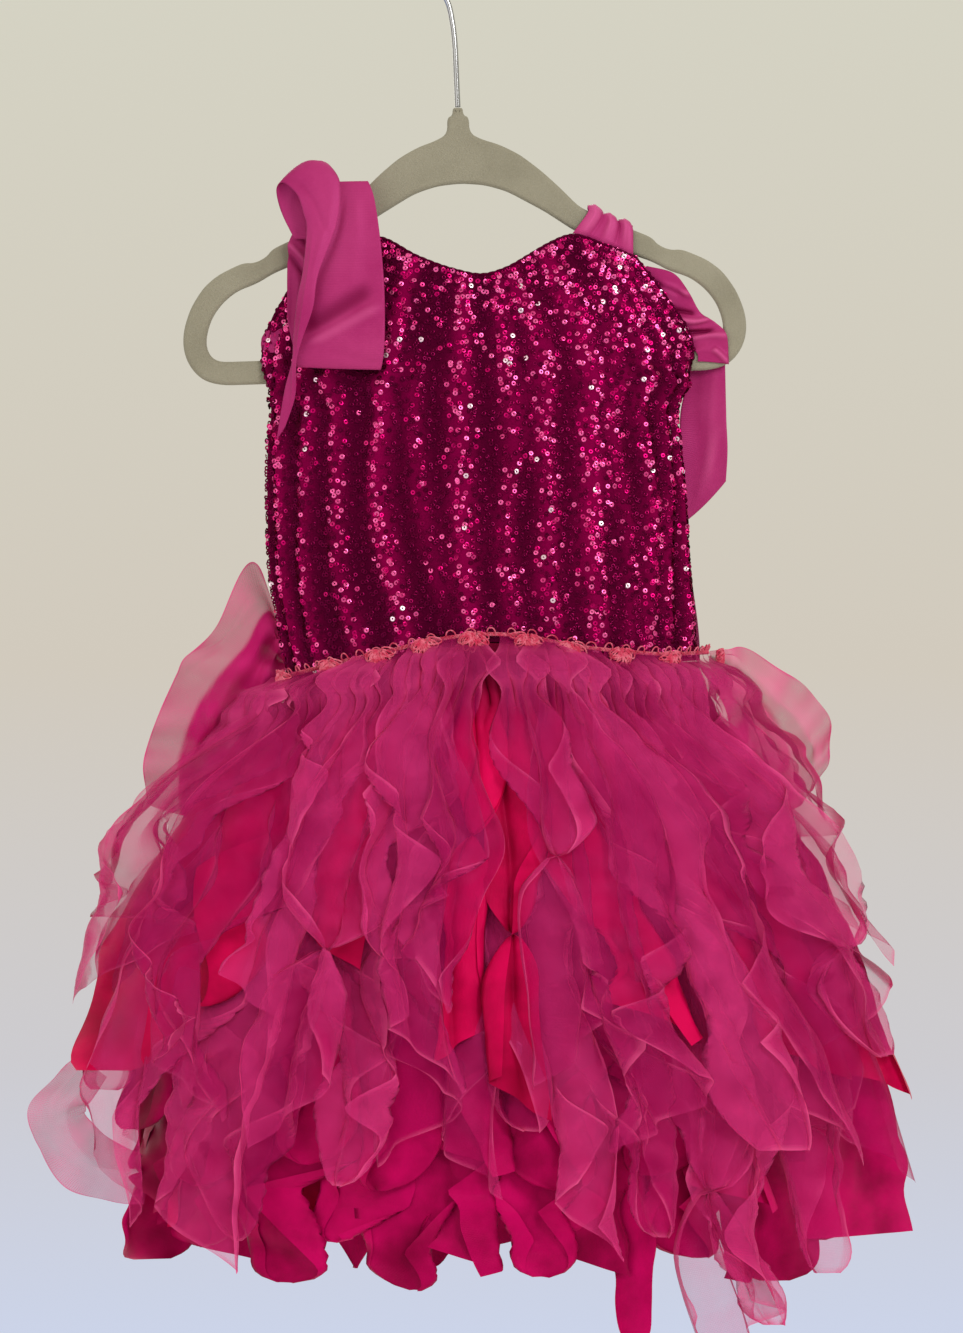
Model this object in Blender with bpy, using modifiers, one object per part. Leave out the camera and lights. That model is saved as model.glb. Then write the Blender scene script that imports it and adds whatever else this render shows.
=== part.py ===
"""Toddler party dress on a hanger: gathered sequin bodice, ribbon shoulders, and a skirt of
satin and organza strips sewn in tiers on an underskirt. All tables are in millimetres.

The origin is the inner top of the hanger's hook. The front faces -Y and +X is the viewer's
right. "Drop" is the distance below the origin, and "fall" the distance below the waist seam.
Around the dress, angle 0 is the centre front, 90 the right side seam and 180 the centre back.
"""

from collections import namedtuple

import bpy
import numpy as np

MM = 0.001
CLOTH = 1.2  # wall of the bodice and the underskirt
RIBBON = 1.0  # wall of ribbons and strips
SEAM = 0.3  # space between neighbouring pieces
SIDE_SHARE = 1.6  # how much further the strips stand out at the sides than in front
BACK_SHARE = 0.85  # and at the back, which hangs flatter

# The section of the dress at each drop: centre, half width, and depth before and behind.
Ring = namedtuple("Ring", "drop centre half front back")
RINGS = (
    Ring(160, 6.0, 100.0, 7.5, 7.5),
    Ring(180, 6.0, 102.5, 8.0, 8.0),
    Ring(200, 7.5, 111.5, 10.0, 9.0),
    Ring(228, 9.0, 119.5, 13.0, 10.0),
    Ring(248, 8.0, 112.5, 15.0, 11.0),
    Ring(256, 8.0, 107.0, 15.5, 11.0),
    Ring(280, 8.0, 107.0, 17.0, 12.0),
    Ring(310, 9.5, 109.0, 18.0, 13.0),
    Ring(350, 12.0, 110.5, 21.0, 15.0),
    Ring(385, 17.0, 110.0, 24.0, 18.0),
    Ring(410, 18.0, 110.0, 27.0, 20.0),
    Ring(435, 17.5, 115.0, 31.5, 22.5),
    Ring(470, 17.0, 127.0, 37.0, 25.0),
    Ring(530, 16.0, 147.0, 45.0, 29.0),
    Ring(600, 16.0, 160.0, 52.0, 32.0),
    Ring(660, 16.0, 166.0, 56.0, 34.0),
    Ring(770, 16.0, 168.0, 58.0, 35.0),
)

# The waist seam arches up at the centre front. Across is -1 at the left side and 1 at the right.
Seam = namedtuple("Seam", "across drop")
WAIST = (
    Seam(-1.0, 410.0),
    Seam(-0.7, 401.0),
    Seam(-0.5, 396.0),
    Seam(-0.28, 390.0),
    Seam(-0.05, 386.5),
    Seam(0.15, 387.5),
    Seam(0.4, 393.0),
    Seam(0.6, 395.5),
    Seam(0.8, 397.0),
    Seam(1.0, 396.0),
)

# Top edges of the two bodice panels: shoulder, neckline, shoulder.
FRONT_TOP = (
    Seam(-1.0, 186.0),
    Seam(-0.75, 178.0),
    Seam(-0.5, 170.5),
    Seam(-0.27, 181.0),
    Seam(-0.1, 187.5),
    Seam(0.05, 190.5),
    Seam(0.17, 187.0),
    Seam(0.3, 180.0),
    Seam(0.42, 173.5),
    Seam(0.53, 169.5),
    Seam(0.75, 174.0),
    Seam(1.0, 181.0),
)
BACK_TOP = (
    Seam(-1.0, 186.0),
    Seam(-0.72, 178.0),
    Seam(-0.5, 173.0),
    Seam(-0.25, 203.0),
    Seam(0.05, 216.0),
    Seam(0.3, 201.0),
    Seam(0.53, 171.0),
    Seam(0.75, 174.0),
    Seam(1.0, 181.0),
)

# Side edges of the bodice panels, in degrees from each panel's own centre, against the share
# of the way down. They stand apart at the armhole, then meet in the side seam.
Side = namedtuple("Side", "down left right")
ARMHOLE = (Side(0.0, 58, 58), Side(0.15, 68, 68), Side(0.3, 78, 78))
BACK_ARMHOLE = (Side(0.0, 58, 58), Side(0.15, 62, 62), Side(0.3, 72, 72))
UNDERARM = 0.33
FRONT_SEAM = (Side(UNDERARM, 89.4, 89.4), Side(0.6, 88, 87), Side(1.0, 84, 76))
SEAM_ANGLE = 2.4
BODICE_ROWS = (0.0, 0.15, 0.3, UNDERARM, 0.56, 0.8, 1.0)
FOLDS = 15
FOLD_HEIGHT = 1.8
COLUMNS_PER_FOLD = 4

# The underskirt. Its rows run through the middles of the bands that are sewn on it.
WAIST_GAP = 0.6
SKIRT_FALLS = (4.0, 13.0, 48.0, 121.0, 199.0, 245.0, 288.0)
SKIRT_WAVES = 6
SKIRT_GAP = 1.0  # degrees between the front and back panels
WAVE_HEIGHT = 4.0
WAVE_START = 605.0

# The crochet trim over the waist seam.
TRIM_HEIGHT = 7.5
TRIM_WALL = 1.3
TRIM_BUMP = 1.6
TRIM_CLUSTERS = 11
TRIM_OUT = 2.2
TRIM_GAP = 3.0

# A tier of strips: where its band is sewn, and how far out its strips hang at each fall.
# Each strip leans, one edge over its neighbour's, and "across" is its points across.
Out = namedtuple("Out", "fall out")
Tier = namedtuple("Tier", "name finish band_top band_bottom root_width lean across outs")
ORGANZA_UPPER = Tier(
    "organza_upper", "organza", 0.8, 7.0, 9.5, 3.9, 3,
    (Out(0, 2.0), Out(7, 2.0), Out(14, 6.2), Out(22, 8.6), Out(50, 15.5), Out(100, 25),
     Out(150, 32), Out(200, 36.5), Out(250, 39), Out(340, 41.5)),
)
SATIN_STRIPS = Tier(
    "satin_strips", "crimson satin", 10.0, 15.0, 14.0, 2.2, 2,
    (Out(0, 2.0), Out(15, 2.0), Out(22, 4.6), Out(50, 9.3), Out(100, 17), Out(150, 23.5),
     Out(200, 28), Out(250, 31)),
)
ORGANZA_LOWER = Tier(
    "organza_lower", "organza", 45.0, 51.0, 11.0, 2.2, 2,
    (Out(0, 2.0), Out(51, 2.0), Out(58, 4.6), Out(100, 9.7), Out(150, 15.5), Out(200, 20.5),
     Out(250, 25), Out(300, 29), Out(360, 32)),
)
SATIN_PETALS = Tier(
    "satin_petals", "satin", 118.0, 124.0, 15.0, 1.8, 2,
    (Out(0, 2.0), Out(124, 2.0), Out(131, 4.4), Out(150, 7.0), Out(200, 12.3), Out(250, 16.5),
     Out(310, 20)),
)
HEM_PETALS = Tier(
    "hem_petals", "satin", 196.0, 202.0, 15.0, 1.9, 3,
    (Out(0, 2.0), Out(202, 2.0), Out(209, 4.2), Out(250, 8), Out(300, 11), Out(370, 13)),
)
CUT_END = 14.0  # the last row before a strip's cut end

# A strip's root and tip lie at a share of the half width, -1 at the left side and 1 at the
# right; it ends at a fall, and its tip may be lifted outwards.
Strip = namedtuple("Strip", "root tip end width cut lift")
UPPER_FRONT = (
    Strip(-0.97, -1.00, 95, 38, "slant", 0),
    Strip(-0.86, -0.92, 150, 38, "point", 0),
    Strip(-0.68, -0.72, 225, 48, "round", 0),
    Strip(-0.56, -0.52, 185, 36, "slant", 0),
    Strip(-0.44, -0.36, 235, 40, "point", 0),
    Strip(-0.32, -0.27, 160, 38, "slant", 0),
    Strip(-0.20, -0.16, 205, 42, "round", 0),
    Strip(-0.09, -0.10, 170, 34, "slant", 0),
    Strip(0.10, 0.16, 215, 38, "slant", 0),
    Strip(0.22, 0.34, 235, 44, "point", 0),
    Strip(0.33, 0.55, 255, 46, "point", 0),
    Strip(0.44, 0.70, 240, 44, "slant", 0),
    Strip(0.55, 0.84, 255, 46, "point", 0),
    Strip(0.66, 0.89, 180, 44, "slant", 0),
    Strip(0.77, 0.945, 205, 40, "round", 0),
    Strip(0.87, 0.985, 145, 38, "slant", 0),
    Strip(0.97, 1.00, 85, 32, "round", 0),
)
STRIPS_FRONT = (
    Strip(-0.96, -0.995, 205, 38, "round", 14),
    Strip(-0.79, -0.72, 175, 46, "round", 0),
    Strip(-0.50, -0.45, 150, 40, "slant", 0),
    Strip(-0.06, -0.06, 200, 24, "point", 0),
    Strip(0.08, 0.05, 235, 30, "point", 0),
    Strip(0.30, 0.42, 190, 40, "slant", 0),
    Strip(0.58, 0.74, 200, 42, "slant", 0),
    Strip(0.86, 0.95, 190, 40, "point", 0),
)
LOWER_FRONT = (
    Strip(-0.96, -0.99, 215, 34, "round", 3),
    Strip(-0.84, -0.90, 262, 40, "slant", 0),
    Strip(-0.70, -0.74, 285, 40, "point", 0),
    Strip(-0.56, -0.57, 292, 42, "round", 0),
    Strip(-0.42, -0.40, 270, 42, "round", 0),
    Strip(-0.28, -0.22, 250, 40, "slant", 0),
    Strip(-0.14, -0.05, 262, 42, "slant", 0),
    Strip(0.00, 0.12, 255, 42, "point", 0),
    Strip(0.14, 0.28, 268, 42, "slant", 0),
    Strip(0.28, 0.46, 300, 42, "round", 0),
    Strip(0.42, 0.60, 325, 42, "round", 0),
    Strip(0.56, 0.73, 345, 40, "slant", 0),
    Strip(0.70, 0.84, 315, 40, "round", 0),
    Strip(0.84, 0.93, 290, 38, "slant", 0),
    Strip(0.96, 0.99, 250, 34, "slant", 0),
)
PETALS_FRONT = (
    Strip(-0.93, -0.95, 230, 40, "round", 0),
    Strip(-0.72, -0.73, 262, 46, "round", 0),
    Strip(-0.50, -0.50, 268, 46, "point", 0),
    Strip(-0.28, -0.27, 272, 48, "round", 0),
    Strip(-0.05, -0.04, 270, 48, "round", 0),
    Strip(0.18, 0.19, 275, 46, "point", 0),
    Strip(0.40, 0.42, 270, 46, "round", 0),
    Strip(0.61, 0.64, 272, 44, "round", 0),
    Strip(0.80, 0.83, 262, 40, "point", 0),
    Strip(0.96, 0.985, 306, 36, "flare", 0),
)
HEM_FRONT = (
    Strip(-0.94, -0.95, 284, 38, "round", 0),
    Strip(-0.77, -0.76, 312, 44, "round", 0),
    Strip(-0.60, -0.58, 318, 46, "round", 0),
    Strip(-0.42, -0.40, 322, 46, "point", 0),
    Strip(-0.25, -0.22, 330, 46, "round", 0),
    Strip(-0.07, -0.05, 328, 44, "round", 0),
    Strip(0.11, 0.12, 326, 46, "point", 0),
    Strip(0.27, 0.28, 320, 42, "round", 0),
    Strip(0.42, 0.43, 366, 20, "square", 0),
    Strip(0.57, 0.58, 318, 44, "round", 0),
    Strip(0.74, 0.76, 322, 42, "round", 0),
    Strip(0.92, 0.94, 300, 38, "round", 0),
)
SLANT = 10.0
BELLY = 0.7

# The back tiers follow a rule: how many strips, and their mean end and width.
Rule = namedtuple("Rule", "tier count reach end spread width cuts")
BACK_RULES = (
    Rule(ORGANZA_UPPER, 13, 0.84, 205, 45, 40, ("slant", "point", "round")),
    Rule(SATIN_STRIPS, 6, 0.80, 180, 22, 40, ("slant", "round")),
    Rule(ORGANZA_LOWER, 12, 0.92, 280, 28, 40, ("round", "slant", "point", "slant")),
    Rule(SATIN_PETALS, 9, 0.90, 266, 8, 44, ("round", "point")),
    Rule(HEM_PETALS, 11, 0.93, 320, 8, 44, ("round", "round", "point")),
)
BACK_SEED = 11

# Half of the hanger's outline from its neck down, in its own frame, before it is tilted.
HANGER_OUTER = (
    (0.0, 14.4), (2.7, 14.4), (2.9, 10.4), (5.9, 9.2), (5.9, 1.0), (11.4, -2.5), (22.0, -6.0),
    (32.6, -11.7), (43.5, -20.5), (53.4, -30.0), (63.2, -40.5), (79.0, -48.5), (96.5, -55.8),
    (101.7, -58.3), (104.8, -62.2), (111.2, -65.2), (117.6, -64.9), (131.0, -71.0),
    (139.0, -77.5), (146.0, -88.0), (150.0, -99.0), (150.9, -108.0), (149.2, -116.0),
    (145.0, -123.0), (139.0, -127.8), (130.0, -130.0), (0.0, -130.0),
)
HANGER_INNER = (
    (0.0, -26.0), (13.0, -27.2), (25.0, -31.0), (45.0, -42.5), (60.0, -53.0), (76.0, -61.0),
    (93.0, -67.8), (101.5, -71.0), (110.0, -76.0), (121.0, -79.8), (129.0, -86.0),
    (135.0, -94.0), (138.0, -103.0), (138.3, -109.5), (135.8, -115.0), (131.0, -117.5),
    (0.0, -117.5),
)
HANGER_AT = (-0.8, -115.0)
HANGER_TILT = 1.8
HANGER_THICK = 5.0
HANGER_CHAMFER = 1.0

HOOK_RADIUS = 20.0
HOOK_WIRE = 3.0
SHANK = ((-1.2, -100.0), (-1.9, -84.0), (-2.7, -67.0), (-4.2, -54.0), (-7.0, -43.0))
HOOK_FROM = 225.0  # degrees, anticlockwise from +X, where the shank runs into the round hook
HOOK_TO = -42.0
HOOK_POINTS = 17

# The ruched straps over the arms: side, share of the half width, height over the arm.
STRAP_HALF = 3.1
STRAP_PROFILE = ((-1, 1.05, -2.0), (-1, 0.75, 1.2), (0, 0.0, 2.2), (1, 0.75, 1.2), (1, 1.05, -2.0))
STRAP_GAP = 0.6
RUCHE = 0.5

# Ribbons are ruled between a left and a right edge, with a middle that may bulge.
Rib = namedtuple("Rib", "left middle right")
LOOP_LEFT = (
    Rib((-88, -11.8, -172), (-82, -12.4, -172), (-76, -12.0, -172)),
    Rib((-94, -11.2, -160), (-84, -12.4, -157), (-73, -12.0, -155)),
    Rib((-97, -11.4, -151), (-84, -13.4, -141), (-70, -12.4, -138)),
    Rib((-97.4, -13.5, -145), (-83, -15.5, -131.6), (-70.5, -15, -132)),
    Rib((-94, -18, -142.5), (-80, -20, -136), (-64, -19.5, -141)),
    Rib((-86.5, -21, -149), (-75, -23, -150), (-63.2, -22, -153.5)),
    Rib((-83, -22, -158.5), (-74, -24.5, -163), (-65, -23.5, -165)),
    Rib((-81, -23, -168), (-75, -25.5, -172), (-68, -25, -174)),
    Rib((-83, -24, -190), (-79, -27, -191), (-75, -27, -193)),
    Rib((-86, -24.5, -205), (-82, -27.5, -207), (-77.5, -28, -210)),
    Rib((-88, -24.5, -226), (-85.5, -27, -226), (-83, -28, -226)),
    Rib((-88.8, -23, -238), (-87.6, -24.5, -238), (-86.3, -25.5, -238)),
    Rib((-93, -17.5, -253), (-90, -19, -254), (-87.3, -19.5, -256)),
    Rib((-97.4, -14.5, -279), (-95, -15.5, -275.5), (-92.7, -16, -272)),
)
PANEL_LEFT = (
    Rib((-66, -8.0, -166), (-58, -8.0, -166), (-50, -8.2, -166)),
    Rib((-66, -9.0, -150), (-57, -9.2, -150), (-47, -9.4, -150)),
    Rib((-65, -12.0, -141.5), (-57, -12, -141.3), (-49, -12, -141.2)),
    Rib((-66, -15, -150), (-56, -15, -150), (-45.6, -15, -150)),
    Rib((-69, -18, -170), (-57, -18, -170), (-42.5, -17.5, -170)),
    Rib((-80, -20, -195), (-61, -20.5, -195), (-40.2, -20, -195)),
    Rib((-85, -21.5, -217), (-63, -22.5, -217), (-39.6, -22, -217)),
    Rib((-87, -21.5, -234), (-63, -23, -234), (-40.3, -22.5, -234)),
    Rib((-86.5, -19.5, -240.5), (-64, -20, -241.5), (-42, -20, -242)),
    Rib((-85, -17.5, -234), (-63, -17.4, -234), (-42, -17.6, -234)),
    Rib((-84, -17.2, -217), (-63, -17.2, -217), (-42, -17.4, -217)),
)
KNOT_LEFT = (
    Rib((-86, -8.6, -164), (-82.5, -9.0, -164), (-79, -8.6, -164)),
    Rib((-91, -8.2, -173), (-85, -9.4, -173), (-79.5, -8.6, -173)),
    Rib((-92, -8.0, -187), (-86.5, -9.6, -187), (-81.5, -9.0, -187)),
    Rib((-92, -9.2, -203), (-87.5, -10.6, -203), (-83.5, -10.8, -203)),
    Rib((-91.5, -11.8, -216), (-88.5, -12.6, -216), (-85.6, -12.8, -216)),
    Rib((-87.9, -14.4, -232), (-86.5, -14.8, -232), (-85.2, -15.1, -232)),
)
BINDING_LEFT = (
    Rib((-84, -1.6, -200), (-82, -1.6, -202), (-80, -1.6, -204)),
    Rib((-91, -1.6, -209), (-88, -1.7, -212), (-85, -1.8, -215)),
    Rib((-100, -1.6, -217), (-96, -1.8, -220), (-92, -2.0, -223)),
    Rib((-105.5, -2.0, -224), (-101, -2.5, -226), (-96, -2.9, -228)),
    Rib((-105.5, -2.0, -231), (-101, -2.6, -231), (-97, -2.9, -232)),
)
RIBBON_RIGHT = (
    Rib((96, -1.2, -188), (98, -1.2, -186.6), (100, -1.2, -185.2)),
    Rib((104, -1.4, -197), (109, -1.6, -193), (114, -1.0, -189)),
    Rib((113, -1.6, -208), (117, -0.6, -203.5), (122, -1.2, -198.5)),
    Rib((118.5, -1.6, -218), (123.5, -2.2, -214), (128.5, -1.2, -210)),
    Rib((120.5, -1.4, -226), (128, -1.0, -220.5), (136.5, -2.6, -215.5)),
    Rib((126.5, -3.4, -232), (133.5, -3.2, -227), (142.5, -3.4, -222.5)),
    Rib((127, -3.6, -236.5), (134, -3.4, -236.8), (143.6, -3.6, -238)),
)
TAIL_RIGHT = (
    Rib((122, 4.2, -236), (132, 4.0, -235), (142, 4.0, -234)),
    Rib((121.5, 5.2, -247), (132, 4.8, -247), (142.3, 4.2, -247)),
    Rib((118, 6.0, -266), (130.5, 7.4, -266), (142.8, 5.6, -264)),
    Rib((119, 6.0, -293), (131.5, 8.0, -288), (143.5, 6.0, -283)),
    Rib((120.5, 6.0, -322), (132, 7.6, -312), (142.6, 6.0, -300)),
)
LOOP_WAIST = (
    Rib((-92.9, 7.4, -385), (-90.5, 8.7, -393), (-87.8, 9.6, -401)),
    Rib((-112, 12, -343), (-105, 13, -364), (-99, 14, -386)),
    Rib((-131, 12, -377), (-119, 14.5, -384), (-107, 14, -394)),
    Rib((-150, 11, -399), (-135, 14.5, -405), (-120, 14, -411)),
    Rib((-163, 10, -428), (-148, 14, -431), (-133, 15, -434)),
    Rib((-169.6, 10, -449), (-156, 14, -450), (-143, 16, -450)),
    Rib((-167.5, 11, -471), (-158, 14, -470), (-149, 16, -467)),
)
RUFFLE_RIGHT = (
    Rib((133.4, 5.1, -397), (133.6, 5.0, -394), (133.8, 5.0, -391)),
    Rib((147, 13, -414), (149, 14, -401), (153, 12, -390)),
    Rib((160, 15, -436), (167, 17, -420), (178, 13, -405)),
    Rib((166, 15, -452), (179, 17, -437), (195, 12, -421)),
    Rib((168, 15, -466), (183, 17, -455), (200, 11, -441)),
    Rib((170, 15, -480), (181, 16, -472), (194, 11, -462)),
)
LOOP_HEM = (
    Rib((-200.7, -5.6, -609.8), (-200, -9, -616), (-199, -12, -622)),
    Rib((-214.7, -5.6, -618.6), (-213, -9, -623.5), (-210, -11, -628)),
    Rib((-229, -6, -634), (-223, -9, -635), (-216, -10, -636)),
    Rib((-226, -7, -655), (-216, -9, -650), (-206, -10, -645)),
    Rib((-210, -8, -676), (-204, -10, -665), (-198, -11, -655)),
    Rib((-190, -9, -684), (-187, -11, -673), (-184, -12, -662)),
    Rib((-172, -10, -685), (-172, -12, -676), (-172, -13, -668)),
)

Finish = namedtuple("Finish", "colour roughness metallic")
FINISHES = {
    "sequins": Finish((0.30, 0.005, 0.11), 0.35, 0.6),
    "knit": Finish((0.22, 0.008, 0.09), 0.8, 0.0),
    "satin": Finish((0.42, 0.01, 0.12), 0.35, 0.0),
    "crimson satin": Finish((0.55, 0.005, 0.09), 0.35, 0.0),
    "ribbon": Finish((0.48, 0.04, 0.20), 0.4, 0.0),
    "organza": Finish((0.52, 0.05, 0.19), 0.6, 0.0),
    "crochet": Finish((0.80, 0.10, 0.20), 0.8, 0.0),
    "flock": Finish((0.34, 0.30, 0.23), 0.95, 0.0),
    "chrome": Finish((0.75, 0.76, 0.78), 0.15, 1.0),
}


def follow(knots, values, at):
    """A smooth curve through the points: a cubic between each two, sloped as its neighbours."""
    knots = np.asarray(knots, float)
    values = np.asarray(values, float)
    slopes = np.gradient(values, knots)
    at = np.clip(at, knots[0], knots[-1])
    i = np.clip(np.searchsorted(knots, at) - 1, 0, len(knots) - 2)
    step = knots[i + 1] - knots[i]
    t = (at - knots[i]) / step
    start = (2 * t**3 - 3 * t**2 + 1) * values[i] + (t**3 - 2 * t**2 + t) * step * slopes[i]
    end = (3 * t**2 - 2 * t**3) * values[i + 1] + (t**3 - t**2) * step * slopes[i + 1]
    return start + end


def ease(t):
    t = np.clip(t, 0.0, 1.0)
    return t * t * (3 - 2 * t)


def column(rows, name):
    return [getattr(row, name) for row in rows]


def on_dress(angle, drop, out=0.0):
    """The point at this angle round the dress and this drop, moved outwards."""
    drops = column(RINGS, "drop")
    centre = follow(drops, column(RINGS, "centre"), drop)
    half = follow(drops, column(RINGS, "half"), drop)
    front = follow(drops, column(RINGS, "front"), drop)
    back = follow(drops, column(RINGS, "back"), drop)
    ahead = np.cos(angle)
    depth = np.where(ahead > 0, front + out, back + BACK_SHARE * out)
    x = centre + (half + SIDE_SHARE * out) * np.sin(angle)
    return np.stack(np.broadcast_arrays(x, -depth * ahead, -drop), -1)


def waist_drop(angle):
    across = np.sin(angle)
    left, right = WAIST[0].drop, WAIST[-1].drop
    behind = left + (right - left) * (across + 1) / 2
    before = follow(column(WAIST, "across"), column(WAIST, "drop"), across)
    return np.where(np.cos(angle) > 0, before, behind)


def finish_of(name):
    material = bpy.data.materials.get(name) or bpy.data.materials.new(name)
    material.use_nodes = True
    shader = material.node_tree.nodes["Principled BSDF"]
    finish = FINISHES[name]
    shader.inputs["Base Color"].default_value = (*finish.colour, 1.0)
    shader.inputs["Roughness"].default_value = finish.roughness
    shader.inputs["Metallic"].default_value = finish.metallic
    return material


def new_object(name, data, finish):
    data.materials.append(finish_of(finish))
    made = bpy.data.objects.new(name, data)
    DRESS.objects.link(made)
    return made


def new_mesh(name, points, faces, finish):
    mesh = bpy.data.meshes.new(name)
    mesh.from_pydata((np.asarray(points) * MM).tolist(), [], faces)
    mesh.update()
    mesh.shade_smooth()
    return new_object(name, mesh, finish)


def thicken(made, wall):
    """The wall grows outwards from the modelled surface."""
    solidify = made.modifiers.new("Wall", "SOLIDIFY")
    solidify.thickness = wall * MM
    solidify.offset = 1.0
    return made


def grid_faces(rows, columns, start=0):
    """Faces of a grid whose rows run down and whose columns run to the viewer's right."""
    faces = []
    for row in range(rows - 1):
        for col in range(columns - 1):
            a = start + row * columns + col
            faces.append((a, a + columns, a + columns + 1, a + 1))
    return faces


def add_sheet(name, grid, wall, finish):
    rows, columns = grid.shape[:2]
    made = new_mesh(name, grid.reshape(-1, 3), grid_faces(rows, columns), finish)
    return thicken(made, wall)


def add_raised(name, inner, outer, finish):
    """A closed wall between a plain inner grid and a raised outer one."""
    rows, columns = inner.shape[:2]
    count = rows * columns
    faces = grid_faces(rows, columns, count)
    faces += [face[::-1] for face in grid_faces(rows, columns)]
    border = [(0, col) for col in range(columns)]
    border += [(row, columns - 1) for row in range(1, rows)]
    border += [(rows - 1, col) for col in range(columns - 2, -1, -1)]
    border += [(row, 0) for row in range(rows - 2, 0, -1)]
    ring = [row * columns + col for row, col in border]
    for here, there in zip(ring, ring[1:] + ring[:1]):
        faces.append((here, count + here, count + there, there))
    points = np.concatenate([inner.reshape(-1, 3), outer.reshape(-1, 3)])
    return new_mesh(name, points, faces, finish)


def edge_degrees(sides, down, share):
    """The panel's angle from its own centre at this share of the way across."""
    downs = column(sides, "down")
    left = np.interp(down, downs, column(sides, "left"))
    right = np.interp(down, downs, column(sides, "right"))
    return share * np.where(share < 0, left, right)


def bodice_grid(front, columns):
    """Rows from the top edge to the waist seam, columns from the left to the right side."""
    share = np.linspace(-1.0, 1.0, columns)[None, :]
    down = np.array(BODICE_ROWS)[:, None]
    top = FRONT_TOP if front else BACK_TOP
    if front:
        sides = ARMHOLE + FRONT_SEAM
    else:
        meet = [
            Side(s.down, 180 - s.left - SEAM_ANGLE, 180 - s.right - SEAM_ANGLE)
            for s in FRONT_SEAM
        ]
        sides = BACK_ARMHOLE + tuple(meet)
    degrees = edge_degrees(sides, down, share)
    angle = np.radians(degrees if front else 180 - degrees)
    start = follow(column(top, "across"), column(top, "drop"), share)
    end = waist_drop(angle[-1:, :])
    drop = start + (end - start) * down
    return angle, drop, down, share


def build_bodice():
    angle, drop, down, share = bodice_grid(True, FOLDS * COLUMNS_PER_FOLD + 1)
    height = np.interp(down, (0.0, 0.12, 0.4, 0.85, 1.0), (0.0, 0.3, 1.0, 1.0, 0.15))
    uneven = 0.78 + 0.22 * np.sin(5.0 * share + 1.0)
    fold = 0.5 - 0.5 * np.cos(np.pi * FOLDS * (share + 1.0))
    flat = ease((1.0 - abs(share)) / 0.12)
    out = FOLD_HEIGHT * height * uneven * flat * fold
    grid = on_dress(angle, drop, out)
    add_sheet("bodice_front", grid, CLOTH, "sequins")

    angle, drop, down, share = bodice_grid(False, 21)
    out = 0.5 * np.sin(np.pi * down) * (1.0 + np.cos(12.0 * np.pi * share))
    grid = on_dress(angle, drop, out)
    add_sheet("bodice_back", grid[:, ::-1], CLOTH, "knit")


def half_turn(front, columns, gap):
    """Angles across the front or the back half, in the order that faces outwards."""
    angle = np.radians(np.linspace(-90.0 + gap / 2, 90.0 - gap / 2, columns))
    return angle if front else angle + np.pi


def build_underskirt():
    for name, front in (("underskirt_front", True), ("underskirt_back", False)):
        angle = half_turn(front, SKIRT_WAVES * 4 + 1, SKIRT_GAP)[None, :]
        fall = np.array((WAIST_GAP, *SKIRT_FALLS))[:, None]
        drop = waist_drop(angle) + fall
        wave = 0.5 - 0.5 * np.cos(2 * SKIRT_WAVES * angle)
        out = WAVE_HEIGHT * ease((drop - WAVE_START) / 80.0) * wave
        add_sheet(name, on_dress(angle, drop, out), CLOTH, "crimson satin")


def build_trim():
    """A band with a raised cluster at each stitch group, its lower edge scalloped."""
    for name, front in (("waist_trim_front", True), ("waist_trim_back", False)):
        angle = half_turn(front, TRIM_CLUSTERS * 4 + 1, TRIM_GAP)[None, :]
        down = np.linspace(0.0, 1.0, 3)[:, None]
        cluster = 0.5 + 0.5 * np.cos(2 * TRIM_CLUSTERS * angle)
        height = TRIM_HEIGHT * (0.72 + 0.28 * cluster)
        drop = waist_drop(angle) - TRIM_HEIGHT - SEAM + height * down
        inner = on_dress(angle, drop, TRIM_OUT)
        raised = TRIM_WALL + TRIM_BUMP * cluster * np.sin(np.pi * down) ** 2
        outer = on_dress(angle, drop, TRIM_OUT + raised)
        add_raised(name, inner, outer, "crochet")


def out_at(tier, strip, fall):
    """How far out a strip hangs at this fall."""
    t = (fall - tier.band_bottom) / (strip.end - tier.band_bottom)
    return np.interp(fall, column(tier.outs, "fall"), column(tier.outs, "out")) + strip.lift * t**3


def strip_width(strip, root_width, t):
    """The strip's width along its length: gathered at the root, then cut at the end."""
    full = root_width + (strip.width - root_width) * ease((t - 0.02) / 0.45)
    if strip.cut == "round":
        return full * np.sqrt(1 - 0.86 * np.clip((t - 0.72) / 0.28, 0, 1) ** 2)
    if strip.cut == "point":
        return full * (1 - 0.8 * ease((t - 0.5) / 0.5))
    if strip.cut == "flare":
        return full * (0.45 + 0.65 * ease((t - 0.35) / 0.65))
    return full * (1 - 0.12 * t)


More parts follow.
